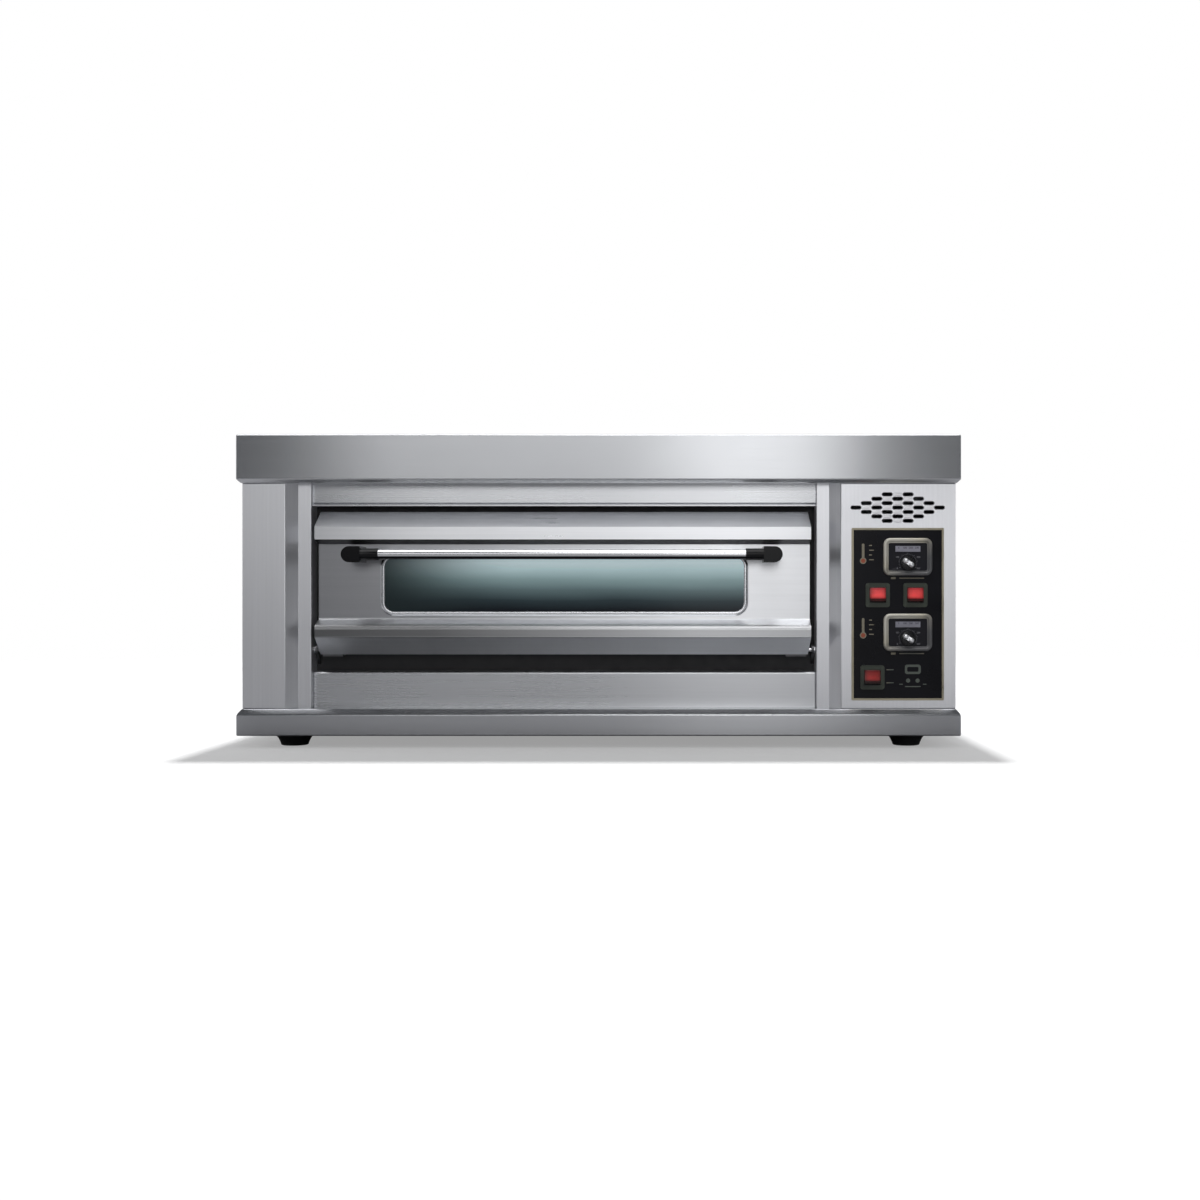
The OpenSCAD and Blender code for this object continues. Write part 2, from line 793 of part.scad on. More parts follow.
module door_liner() {
    color("silver") difference() {
        union() {
            along_y(door_rear - liner, door_rear) polygon(door_outline(0));
            box([door_l + 5, pivot_y - 11, door_foot + 1], [door_r - 5, door_rear - liner + eps, door_foot + 1 + liner]);
        }
        window_hole(0, door_rear - 5, door_rear + 5);
        knuckle_space(0.3);
        rod_x(pivot_y, pivot_z, door_l - 1, door_r + 1, pin_r + 1);
    }
}

module door_insulation() {
    color("khaki") difference() {
        box([door_l + 7, door_y + 6, pivot_z + 14], [door_r - 7, door_rear - liner, door_top - 4]);
        window_hole(16, door_y, door_rear);
    }
}

module window_bezel() {
    color("gainsboro") difference() {
        window_hole(8, door_y - 3, door_y);
        window_hole(0, door_y - 4, door_y + 1);
    }
}

module outer_glass() {
    color("lightblue") window_hole(10, door_y + sheet, door_y + sheet + 4);
}

module inner_glass() {
    color("lightblue") window_hole(10, door_rear - liner - 4, door_rear - liner);
}

module door_gasket() {
    color("darkgray") difference() {
        box([ch_l - 9, door_rear, deck_z - 9], [ch_r + 9, frame_y - 0.5, roof_z + 9]);
        box([ch_l - 2, door_rear - 1, deck_z - 2], [ch_r + 2, frame_y + 1, roof_z + 2]);
    }
}

module handle_rod() {
    w = handle_width / 2 - 28;
    color("white") rod_x(front - bar_out, bar_z, door_x - w, door_x + w, bar_r);
}

module at_handle_screws() {
    for (s = [-1, 1]) translate([door_x + s * (handle_width / 2 - 14), 0, bar_z]) children();
}

// One end block: a round-ended foot on the door with a socket for the bar.
module handle_end(s) {
    r = 13.5;
    w = handle_width / 2;
    x = door_x + s * (w - r);
    y = front - bar_out;
    difference() {
        union() {
            rod_y(x, bar_z, front - 12.5, door_y, r);
            along_y(front - 12.5, door_y) square_at(door_x + s * (w - r - 9), bar_z, 18, 2 * r);
            rod_x(y, bar_z, min(x, x - s * 48), max(x, x - s * 48), bar_r + 1.5);
        }
        rod_x(y, bar_z, door_x - w + 28, door_x + w - 28, bar_r);
        rod_y(door_x + s * (w - 14), bar_z, door_y - 26, door_y + 1, 2.5);
    }
}

module handle_ends() {
    color("black") for (s = [-1, 1]) handle_end(s);
}

module handle_screws() {
    color("gray") at_handle_screws() {
        rod_y(0, 0, door_y - 25, door_y + sheet + eps, 2.4);
        rod_y(0, 0, door_y + sheet, door_y + sheet + 3, 5);
    }
}

module hinge_knuckles() {
    color("dimgray") difference() {
        knuckle_space(0);
        rod_x(pivot_y, pivot_z, door_l - 5, door_r + 5, pin_r + 0.06);
    }
}

base_plinth();
rubber_feet();
foot_bolts();
crown_cover();
left_side_panel();
right_side_panel();
back_panel();
left_pillar();
control_fascia();
top_fascia();
kick_panel();
hinge_rail();
front_frame();
deck_plate();
chamber_base();
chamber_roof();
chamber_sides();
chamber_back();
compartment_wall();
chamber_insulation();
upper_elements();
lower_elements();
chamber_supports();
element_terminals();
thermocouples();
lamp_housing();
lamp_lens();
steam_duct();
cable_gland();
bonding_stud();
panel_screws();
contactors();
wiring_loom();
control_overlay();
overlay_trim();
overlay_print();
controller_bodies();
controller_bezels();
scale_strips();
switch_housings();
hinge_brackets();
hinge_pins();
door_panel();
door_liner();
door_insulation();
window_bezel();
outer_glass();
inner_glass();
door_gasket();
handle_rod();
handle_ends();
handle_screws();
hinge_knuckles();
upper_knob();
upper_grip();
lower_knob();
lower_grip();
left_rocker();
right_rocker();
lamp_rocker();
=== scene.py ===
# %% [markdown]
# # A deck oven with one baking chamber
# This lesson dresses a finished metal frame. Every sheet, rod and switch already has its true size and
# place, and the moving parts already swing on their joints. What is left is what the eye reads: the soft
# folds of bent steel, the brushed grain, the glass, the rubber and the lights of the studio.

# %% Load the frame
import json
import math
import random

import bmesh
import bpy
from mathutils import Matrix, Vector

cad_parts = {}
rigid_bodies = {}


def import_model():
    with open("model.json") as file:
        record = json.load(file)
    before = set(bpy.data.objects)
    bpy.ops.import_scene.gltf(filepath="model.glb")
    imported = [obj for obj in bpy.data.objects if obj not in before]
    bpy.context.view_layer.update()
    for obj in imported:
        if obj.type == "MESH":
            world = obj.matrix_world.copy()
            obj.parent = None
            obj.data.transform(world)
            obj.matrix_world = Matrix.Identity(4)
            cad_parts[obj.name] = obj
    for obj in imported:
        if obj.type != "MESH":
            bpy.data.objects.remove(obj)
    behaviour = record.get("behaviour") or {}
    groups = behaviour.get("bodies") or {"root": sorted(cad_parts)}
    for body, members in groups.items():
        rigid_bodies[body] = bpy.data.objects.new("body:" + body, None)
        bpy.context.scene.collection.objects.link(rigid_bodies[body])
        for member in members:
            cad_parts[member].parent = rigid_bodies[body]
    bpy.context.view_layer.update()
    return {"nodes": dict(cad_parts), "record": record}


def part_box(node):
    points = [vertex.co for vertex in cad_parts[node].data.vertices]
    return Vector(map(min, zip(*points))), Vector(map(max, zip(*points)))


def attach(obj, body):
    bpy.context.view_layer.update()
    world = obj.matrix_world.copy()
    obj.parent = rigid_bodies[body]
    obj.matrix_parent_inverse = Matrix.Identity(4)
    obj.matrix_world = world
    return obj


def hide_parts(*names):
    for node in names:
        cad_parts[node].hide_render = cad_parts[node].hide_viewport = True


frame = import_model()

MM = 0.001

# %% [markdown]
# ## The camera
# An oven is shown square on and from some way off, so upright edges stay upright. A level camera at the
# height of the window does that. The lens is slid a little sideways in its mount, as a studio photographer
# would do, instead of turning the camera and bending the lines.

# %% Camera
EYE = Vector((0.150, -3.095, 0.257))
camera_data = bpy.data.cameras.new("studio_camera")
camera_data.sensor_width = 36
camera_data.lens = 48.17
camera_data.shift_x = -0.0731
camera_data.shift_y = -0.0041
camera_data.clip_end = 200
camera = bpy.data.objects.new("studio_camera", camera_data)
camera.location = EYE
camera.rotation_euler = (math.radians(90), 0, 0)
bpy.context.scene.collection.objects.link(camera)
bpy.context.scene.camera = camera
bpy.context.scene.view_settings.view_transform = "Standard"
print("camera", round(EYE.length, 2), "m away")

# %% [markdown]
# ## Building a finish out of nodes
# A finish is a small chain of nodes. Coordinates measured on the oven are stretched, turned into noise, and
# the noise is laid over the colour, the roughness and the bump. Because the coordinates are those of the
# oven, the grain runs on from one sheet to the next. These few helpers keep each finish short.


# %% Node helpers
def node(tree, kind, inputs=None, **settings):
    """A new node. Each input is another node's output, which is linked, or a plain value, which is set."""
    made = tree.nodes.new(kind)
    for key, value in settings.items():
        setattr(made, key, value)
    for key, value in (inputs or {}).items():
        if isinstance(value, bpy.types.NodeSocket):
            tree.links.new(value, made.inputs[key])
        else:
            made.inputs[key].default_value = value
    return made


def coordinates(tree, kind="Object"):
    """The place on the oven ("Object") or the way a face looks ("Normal")."""
    return node(tree, "ShaderNodeTexCoord").outputs[kind]


def parts_of(tree, kind="Object"):
    return node(tree, "ShaderNodeSeparateXYZ", {"Vector": coordinates(tree, kind)}).outputs


def noise(tree, scale, detail=3.0, place=None):
    """Noise laid on the oven's own coordinates, in metres, stretched by one scale or by three."""
    stretch = node(tree, "ShaderNodeMapping", {
        "Vector": place or coordinates(tree), "Scale": scale if hasattr(scale, "__len__") else (scale,) * 3})
    grown = node(tree, "ShaderNodeTexNoise", {
        "Vector": stretch.outputs["Vector"], "Scale": 1.0, "Detail": detail, "Roughness": 0.55})
    return grown.outputs["Fac"]


def spread(tree, source, low, high, start=0.3, stop=0.7, **settings):
    """Turns a number between start and stop into one between low and high."""
    return node(tree, "ShaderNodeMapRange", {
        "Value": source, "From Min": start, "From Max": stop, "To Min": low, "To Max": high},
        **settings).outputs["Result"]


def ramp(tree, source, *stops):
    """Turns a number into a colour by pairs of place and colour; a colour may be one number for a grey."""
    made = node(tree, "ShaderNodeValToRGB", {"Fac": source})
    edge = made.color_ramp.elements
    while len(edge) < len(stops):
        edge.new(0.5)
    for step, (place, colour) in zip(edge, stops):
        step.position = place
        step.color = (*colour, 1) if hasattr(colour, "__len__") else (colour, colour, colour, 1)
    return made.outputs["Color"]


def shade(colour, factor):
    return tuple(min(1.0, c * factor) for c in colour)


def mottled(tree, source, colour, contrast, stop=0.7):
    """The colour, a little darker where the noise is low and a little lighter where it is high."""
    return ramp(tree, source, (0.3, shade(colour, 1 - contrast)), (stop, shade(colour, 1 + contrast)))


def blend(tree, first, second, amount, way="MIX"):
    """Mixes two colours; the second may be a plain one, and the amount a number or an output."""
    second = (*second, 1) if isinstance(second, tuple) else second
    return node(tree, "ShaderNodeMix", {0: amount, 6: first, 7: second},
                data_type="RGBA", blend_type=way).outputs[2]


def added(tree, first, second, way="ADD"):
    return node(tree, "ShaderNodeMath", {0: first, 1: second}, operation=way).outputs[0]


def fresh(name, metallic=0.0, **sockets):
    """An empty finish: its tree and its shader, with the sockets that are the same all over already set."""
    made = bpy.data.materials.new(name)
    made.use_nodes = True
    shader = made.node_tree.nodes["Principled BSDF"]
    shader.inputs["Metallic"].default_value = metallic
    for key, value in sockets.items():
        shader.inputs[key.replace("_", " ")].default_value = value
    return made, made.node_tree, shader


def feed(tree, shader, **sources):
    """Links outputs to the shader's sockets."""
    for key, source in sources.items():
        tree.links.new(source, shader.inputs[key.replace("_", " ")])


def bump(tree, shader, height, strength, distance=0.0002):
    raised = node(tree, "ShaderNodeBump", {"Strength": strength, "Distance": distance, "Height": height})
    feed(tree, shader, Normal=raised.outputs["Normal"])


def rubbed(tree, tone, worn, amount, stop):
    """Shows the worn colour on the edges, which the shape's own pointiness finds."""
    shape = node(tree, "ShaderNodeNewGeometry")
    return blend(tree, tone, worn, spread(tree, shape.outputs["Pointiness"], 0.0, amount, 0.53, stop))


def paint_shade_below(tree, tone, dark, start, stop):
    """Paints shade on the faces that look down; start and stop are how steeply they look down."""
    return blend(tree, tone, dark, spread(tree, parts_of(tree, "Normal")["Z"], 1.0, 0.0, start, stop))


# %% [markdown]
# ## Brushed steel
# The cabinet is stainless sheet that went through a belt sander, so it carries fine parallel scratches. The
# scratches spread each highlight across the grain, which the shader's anisotropy does, and leave faint
# bands of lighter and darker metal. The grain lies along the crown, the door and the base, and stands
# upright on the two pillars and the sides, as it does on sheets cut from one coil and folded either way.
# The crown is the one sheet whose grain is seen on its ends too, so there its X and Y change places and the
# grain runs round the corner.


# %% Brushed steel
ALONG_X = (2.2, 210.0, 210.0)
UPRIGHT = (210.0, 210.0, 2.2)
# painted shade: the near black laid on the faces that look down
PAINTED_SHADE_BLACK = (0.03, 0.03, 0.035)


def on_ends(tree):
    """1 on the faces that look left or right, 0 on all the others."""
    sideways = node(tree, "ShaderNodeMath", {0: parts_of(tree, "Normal")["X"]}, operation="ABSOLUTE")
    return spread(tree, sideways.outputs[0], 0.0, 1.0, 0.6, 0.75)


def either(tree, ends, usual, on_end):
    """One vector on the end faces and another on the rest."""
    return node(tree, "ShaderNodeMix", {0: ends, 4: usual, 5: on_end}, data_type="VECTOR").outputs[1]


def swapped(tree, ends):
    """Coordinates whose X and Y change places on the end faces."""
    part = parts_of(tree)
    other = node(tree, "ShaderNodeCombineXYZ", {"X": part["Y"], "Y": part["X"], "Z": part["Z"]})
    return either(tree, ends, coordinates(tree), other.outputs["Vector"])


def round_axis(tree, axis):
    return node(tree, "ShaderNodeTangent", direction_type="RADIAL", axis=axis).outputs["Tangent"]


def brushed(name, colour, grain, rough=0.30, aniso=0.6, contrast=0.03, smudge=0.03, soot=None,
            under=None, shade_painter=None, corner=False):
    """Sanded sheet; soot clouds it, under paints shade on what looks down, and a function of the tone, given
    after under, paints light and shade onto it.
    """
    made, tree, shader = fresh(name, metallic=1.0, Anisotropic=aniso)
    ends = on_ends(tree) if corner else None
    place = swapped(tree, ends) if corner else None
    bands = noise(tree, grain, 4.0, place)
    hair = noise(tree, [g * 9 for g in grain], 2.0, place)
    tone = mottled(tree, bands, colour, contrast, 0.72)
    tone = blend(tree, tone, ramp(tree, hair, (0.25, (0.95, 0.95, 0.955)), (0.75, 1.0)), 0.6, "MULTIPLY")
    if soot:
        tone = blend(tree, tone, soot, spread(tree, noise(tree, 9.0, 5.0), 0.0, 0.75, 0.35, 0.7))
    # painted shade on the faces that look down
    if under:
        tone = paint_shade_below(tree, tone, *under)
    # painted light and shade laid onto the tone
    if shade_painter:
        tone = shade_painter(tree, tone)
    wide = spread(tree, noise(tree, 3.1, 4.0), rough - smudge, rough + smudge)
    tangent = round_axis(tree, "Z" if grain is UPRIGHT else "X")
    if corner:
        tangent = either(tree, ends, tangent, round_axis(tree, "Y"))
    feed(tree, shader, Base_Color=tone, Roughness=added(tree, wide, spread(tree, bands, -0.012, 0.012)),
         Tangent=tangent)
    bump(tree, shader, hair, 0.025)
    return made


# %% [markdown]
# ## Steel on the oven
# The door needs one thing more. Its bands, ledges and bevels tilt a few degrees from each other, and on the
# left they fall off into shade at different rates. That is painted into its metal by height, once for the
# left and once for the right, and the two are mixed along the door.


# %% Steels
def door_painted_shade(tree, tone):
    """Painted shade: how bright each face of the door stays, by height, on its left and on its right."""
    part = parts_of(tree)
    height = spread(tree, part["Z"], 0.0, 1.0, 0.150, 0.400)
    left = ramp(tree, height, (0.135, 0.62), (0.15, 0.22), (0.212, 0.22), (0.235, 0.95), (0.262, 0.95),
                (0.275, (0.44, 0.44, 0.45)), (0.775, (0.50, 0.50, 0.51)), (0.80, 1.0))
    right = ramp(tree, height, (0.135, 1.0), (0.15, 0.60), (0.212, 0.60), (0.235, 1.0))
    across = spread(tree, part["X"], 0.0, 1.0, -0.28, 0.16)
    return blend(tree, tone, blend(tree, left, right, across), 1.0, "MULTIPLY")


crown_steel = brushed("crown_steel", (0.66, 0.67, 0.69), ALONG_X, 0.25, contrast=0.02, smudge=0.015,
                      corner=True)
body_steel = brushed("body_steel", (0.70, 0.705, 0.73), UPRIGHT, 0.36, 0.7)
front_steel = brushed("front_steel", (0.70, 0.71, 0.73), ALONG_X, 0.28, contrast=0.02, smudge=0.015)
# The door's steel is painted lighter than the other steels, a painted highlight; painted shade by height and
# on the faces that look down brings its faces back down.
door_steel = brushed("door_steel", (0.93, 0.94, 0.96), ALONG_X, under=(PAINTED_SHADE_BLACK, -0.965, -0.90),
                     shade_painter=door_painted_shade)
# A lighter copy of the pillar steel for the vent's pressed lands, a painted highlight.
lands_painted_bright = brushed("lands_painted_bright", (0.95, 0.95, 0.97), UPRIGHT, 0.45, 0.7, contrast=0.01)
window_trim = brushed("window_trim", (0.86, 0.87, 0.90), ALONG_X, 0.20, contrast=0.02)
probe_steel = brushed("probe_steel", (0.62, 0.62, 0.63), ALONG_X)
duct_steel = brushed("duct_steel", (0.55, 0.55, 0.56), ALONG_X, 0.36)
chamber_steel = brushed("chamber_steel", (0.47, 0.46, 0.44), ALONG_X, 0.44, 0.3, contrast=0.10, smudge=0.08,
                        soot=(0.24, 0.20, 0.15))
print("steels", [m.name for m in bpy.data.materials])

# %% [markdown]
# ## Zinc, iron, chrome and brass
# Galvanised sheet shows spangle, the frosty crystals of the zinc bath. A Voronoi texture makes flat cells
# of about that size, and each cell gets its own shade. The black rail and the hinge are painted or
# blackened, and wear thin on their edges. Chrome and bright zinc are nearly mirrors, so only a trace of
# cloud in the roughness keeps them from looking printed.


# %% Other metals
def spangled(name, colour):
    made, tree, shader = fresh(name, metallic=1.0)
    cells = node(tree, "ShaderNodeTexVoronoi", {"Vector": coordinates(tree), "Scale": 150.0}, feature="F1")
    grey = node(tree, "ShaderNodeSeparateColor", {"Color": cells.outputs["Color"]}).outputs
    tone = ramp(tree, grey["Red"], (0.0, shade(colour, 0.93)), (1.0, shade(colour, 1.06)))
    feed(tree, shader, Base_Color=tone, Roughness=spread(tree, grey["Green"], 0.34, 0.44, 0.0, 1.0))
    bump(tree, shader, cells.outputs["Distance"], 0.05, 0.0003)
    return made


def plain_metal(name, colour, rough, cloud=60.0, contrast=0.06, metallic=1.0, worn=None, dent=0.04,
                under=None):
    """Metal with a cloudy sheen; worn is the colour that shows where paint has rubbed off the edges."""
    made, tree, shader = fresh(name, metallic=metallic)
    patch = noise(tree, cloud, 5.0)
    tone = mottled(tree, patch, colour, contrast)
    if worn:
        tone = rubbed(tree, tone, worn, 0.8, 0.60)
    # painted shade on the faces that look down
    if under:
        tone = paint_shade_below(tree, tone, *under)
    feed(tree, shader, Base_Color=tone, Roughness=spread(tree, patch, rough * 0.8, rough * 1.25))
    bump(tree, shader, noise(tree, cloud * 6), dent)
    return made


galvanised = spangled("galvanised", (0.58, 0.59, 0.60))
black_rail = plain_metal("black_rail", (0.006, 0.006, 0.008), 0.45, contrast=0.3, metallic=0.0,
                         worn=(0.04, 0.04, 0.045))
hinge_iron = plain_metal("hinge_iron", (0.045, 0.045, 0.05), 0.45, contrast=0.3, worn=(0.22, 0.22, 0.23),
                         dent=0.3)
bright_steel = plain_metal("bright_steel", (0.80, 0.80, 0.82), 0.16)
screw_steel = plain_metal("screw_steel", (0.70, 0.70, 0.72), 0.22, 300.0)
brass_stud = plain_metal("brass_stud", (0.74, 0.55, 0.27), 0.24, 200.0, 0.15)
# The bar's lower side is painted near black, a painted shade.
handle_chrome = plain_metal("handle_chrome", (0.86, 0.87, 0.89), 0.14, 12.0, 0.03,
                            under=(PAINTED_SHADE_BLACK, -0.52, -0.22))
# Painted shade: the dull dark ring round each vent slot.
slot_painted_shade = plain_metal("slot_painted_shade", (0.10, 0.10, 0.11), 0.5, 200.0)
# The front frame is painted near black as painted shade, so the gaps round the door read as dark shadow
# lines.
mouth_black = plain_metal("mouth_black", (0.012, 0.012, 0.014), 0.55, contrast=0.3, metallic=0.0)
rod_sheath = plain_metal("rod_sheath", (0.14, 0.115, 0.10), 0.50, 35.0, 0.45, dent=0.25)
print("metals", len(bpy.data.materials))

# %% [markdown]
# ## Plastic, rubber and wool
# Moulded plastic has a very fine orange-peel skin and a slightly duller sheen where hands touch it. Rubber
# is rougher and dusty. The film over the controls is glossy polyester printed from behind, so it gets a
# clear coat. Mineral wool and the door rope are fibre: long tangled noise and a woven wave do for them.


# %% Plastics and fibres
def moulded(name, colour, rough, contrast=0.12, peel=0.05, worn=None, grain=900.0, **sockets):
    made, tree, shader = fresh(name, **sockets)
    touch = noise(tree, 14.0, 4.0)
    tone = mottled(tree, touch, colour, contrast)
    if worn:
        tone = rubbed(tree, tone, worn, 0.6, 0.62)
    feed(tree, shader, Base_Color=tone, Roughness=spread(tree, touch, rough * 0.8, rough * 1.25))
    bump(tree, shader, noise(tree, grain, 2.0), peel)
    return made


def woven(name, colour, dark, pitch, lean):
    """Fibre rope: a slanted wave for the strands over a tangled noise."""
    made, tree, shader = fresh(name, Roughness=0.92, Sheen_Weight=0.25)
    turn = node(tree, "ShaderNodeMapping", {"Vector": coordinates(tree), "Rotation": (0.0, lean, 0.3)})
    strands = node(tree, "ShaderNodeTexWave", {
        "Vector": turn.outputs["Vector"], "Scale": pitch, "Distortion": 2.0, "Detail": 2.0},
        wave_type="BANDS", bands_direction="DIAGONAL").outputs["Fac"]
    dust = ramp(tree, noise(tree, 40.0, 5.0), (0.3, (0.75, 0.72, 0.68)), (0.7, 1.0))
    tone = ramp(tree, strands, (0.2, dark), (0.8, colour))
    feed(tree, shader, Base_Color=blend(tree, tone, dust, 0.8, "MULTIPLY"))
    bump(tree, shader, strands, 0.6, 0.0006)
    return made


foot_rubber = moulded("foot_rubber", (0.018, 0.018, 0.019), 0.62, contrast=0.35, peel=0.2,
                      worn=(0.06, 0.06, 0.06))
gland_plastic = moulded("gland_plastic", (0.03, 0.03, 0.033), 0.42, peel=0.12, worn=(0.09, 0.09, 0.09))
gear_plastic = moulded("gear_plastic", (0.60, 0.60, 0.57), 0.45, 0.06)
wire_sleeve = moulded("wire_sleeve", (0.40, 0.09, 0.07), 0.5, 0.2)
ceramic = moulded("ceramic", (0.84, 0.82, 0.76), 0.22, 0.05, Coat_Weight=0.4)
overlay_film = moulded("overlay_film", (0.0045, 0.0045, 0.0075), 0.30, 0.3, peel=0.02, Coat_Weight=0.08,
                       Coat_Roughness=0.10, Specular_IOR_Level=0.22)
gold_line = moulded("gold_line", (0.50, 0.45, 0.33), 0.34, 0.2, Metallic=0.6)
controller_black = moulded("controller_black", (0.009, 0.009, 0.014), 0.40, peel=0.15, Specular_IOR_Level=0.3)
switch_black = moulded("switch_black", (0.022, 0.028, 0.020), 0.30, worn=(0.10, 0.12, 0.09))
knob_black = moulded("knob_black", (0.008, 0.008, 0.010), 0.25, worn=(0.05, 0.05, 0.05))
handle_plastic = moulded("handle_plastic", (0.004, 0.004, 0.005), 0.20, peel=0.04, Specular_IOR_Level=0.25)
grip_bright = moulded("grip_bright", (0.93, 0.94, 0.96), 0.34, 0.03, Metallic=0.7)
scale_grey = moulded("scale_grey", (0.34, 0.335, 0.40), 0.3, 0.3, grain=400.0)
mark_white = moulded("mark_white", (0.30, 0.30, 0.32), 0.45, 0.1)
mark_black = moulded("mark_black", (0.02, 0.02, 0.03), 0.45, 0.1)
wool = woven("wool", (0.72, 0.62, 0.40), (0.45, 0.38, 0.24), 60.0, 0.4)
gasket_fibre = woven("gasket_fibre", (0.33, 0.32, 0.30), (0.10, 0.095, 0.09), 320.0, 0.9)
print("plastics and fibres", len(bpy.data.materials))

# %% [markdown]
# ## Printed signs and controller frames
# The signs on the film are pale gold ink, with a red bulb at the foot of each thermometer. One finish prints
# them all: it measures how far a point lies from the two bulbs and turns red close to them, and grey round
# the signs at the lower right. The frames of the controllers are lacquered champagne with painted shade: they
# turn grey towards their lower right corner. The two frames are a fixed step apart, so a remainder after that
# step shades both alike.

# %% Inks and frame lacquer
DIAL_X, DIAL_STEP = 521.5, 127.5
DIALS = [321.5, 194.0]
INK_Y = -381.25
BULBS = [(446.5, 315.0), (446.5, 189.0)]
GREY_SIGNS = (527.0, 121.0)


def near_point(tree, x, z, radius):
    """1 close to a point on the front, 0 away from it."""
    gap = node(tree, "ShaderNodeVectorMath", {0: coordinates(tree), 1: (x * MM, INK_Y * MM, z * MM)},
               operation="DISTANCE")
    return spread(tree, gap.outputs["Value"], 1.0, 0.0, radius * 0.8 * MM, radius * MM)


def printed():
    made, tree, shader = fresh("print_ink", Roughness=0.4)
    flecks = noise(tree, 700.0)
    tone = ramp(tree, flecks, (0.3, (0.24, 0.215, 0.155)), (0.7, (0.38, 0.345, 0.26)))
    for bulb in BULBS:
        tone = blend(tree, tone, (0.42, 0.10, 0.05), near_point(tree, *bulb, 4.2))
    feed(tree, shader, Base_Color=blend(tree, tone, (0.13, 0.15, 0.13), near_point(tree, *GREY_SIGNS, 44.0)))
    bump(tree, shader, flecks, 0.1, 0.0001)
    return made


def shaded_frame_lacquer():
    made, tree, shader = fresh("bezel_champagne", metallic=0.45, Roughness=0.36)
    part = parts_of(tree)
    # painted shade: the lacquer turns grey towards the lower right corner of each frame
    above = added(tree, part["Z"], (DIALS[1] - DIAL_STEP / 2) * MM, "SUBTRACT")
    in_one = added(tree, above, DIAL_STEP * MM, "MODULO")
    right = spread(tree, part["X"], 1.0, 0.0, (DIAL_X - 33) * MM, (DIAL_X + 33) * MM)
    top = spread(tree, in_one, 0.0, 1.0, 0.0397, 0.0878)
    lean = spread(tree, added(tree, right, top), 0.0, 1.0, 0.4, 1.6)
    feed(tree, shader, Base_Color=ramp(tree, lean, (0.1, (0.15, 0.15, 0.155)), (0.45, (0.27, 0.26, 0.24)),
                                       (0.62, (0.64, 0.60, 0.49)), (1.0, (0.76, 0.73, 0.64))))
    bump(tree, shader, noise(tree, 900.0, 2.0), 0.08)
    return made


print_ink = printed()
bezel_champagne = shaded_frame_lacquer()
print("signs and frames done")

# %% [markdown]
# ## Lit rockers
# The two upper rockers glow a little, because a neon lamp stands behind the red lens. The third one is off
# and looks darker, though it keeps a faint glow, which is painted light. Each lens is painted lighter in its
# middle and upper part and darker along its foot and its sides, painted light and shade, so two ramps, one up
# the lens and one across it, are multiplied into the red, which also colours the glow.


# %% Lenses
def lens(name, colour, glow, like):
    """Red lens; like is the rocker whose height and width it is measured on."""
    low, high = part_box(like)
    made, tree, shader = fresh(name, Roughness=0.22, Coat_Weight=0.25, Subsurface_Weight=0.15,
                               Subsurface_Scale=0.004, Emission_Strength=glow)
    part = parts_of(tree)
    # painted light and shade: lighter up the middle of the lens, darker at its foot and its sides
    upward = ramp(tree, spread(tree, part["Z"], 0.0, 1.0, low.z, high.z), (0.16, (0.05, 0.01, 0.01)),
                  (0.30, (0.85, 0.8, 0.8)), (0.44, 1.0), (0.78, (0.80, 0.75, 0.80)),
                  (0.96, (0.45, 0.35, 0.45)))
    across = ramp(tree, spread(tree, part["X"], 0.0, 1.0, low.x, high.x), (0.03, (0.22, 0.18, 0.2)),
                  (0.2, (0.85, 0.82, 0.82)), (0.36, 1.0), (0.68, 1.0), (0.84, (0.8, 0.78, 0.78)),
                  (0.97, (0.2, 0.16, 0.16)))
    tone = mottled(tree, noise(tree, (60.0, 60.0, 160.0)), colour, 0.1)
    tone = blend(tree, tone, blend(tree, upward, across, 1.0, "MULTIPLY"), 1.0, "MULTIPLY")
    feed(tree, shader, Base_Color=tone, Emission_Color=tone)
    bump(tree, shader, noise(tree, 900.0), 0.05)
    return made


rocker_lit = lens("rocker_red", (0.72, 0.062, 0.062), 0.40, "left_rocker")
rocker_lit_too = lens("rocker_red_right", (0.72, 0.062, 0.062), 0.40, "right_rocker")
# the off rocker's faint glow is painted light
rocker_off = lens("rocker_red_off", (0.42, 0.016, 0.012), 0.05, "lamp_rocker")
print("three lenses")

# %% [markdown]
# ## Glass
# The outer pane is toughened glass with a grey-green heat-reflecting coat. Its reflection is painted on: pale
# green at its top edge, where it would mirror the bright room, and nearly black at its foot, where it would
# mirror the dark floor. A painted shade keeps its left end dark, and a weak glow, painted light, carries the
# same colours. Real mirrors would need a whole room for that; a ramp by height and a shade by length, on the
# colour and on the glow, give the same look from every side. A clear coat adds the real reflection. The inner
# pane and the lamp's dome let light through.

# %% Glass finishes
PANE_LOW, PANE_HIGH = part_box("outer_glass")
PANE_SHADE = (0.012, 0.020, 0.022, 1)


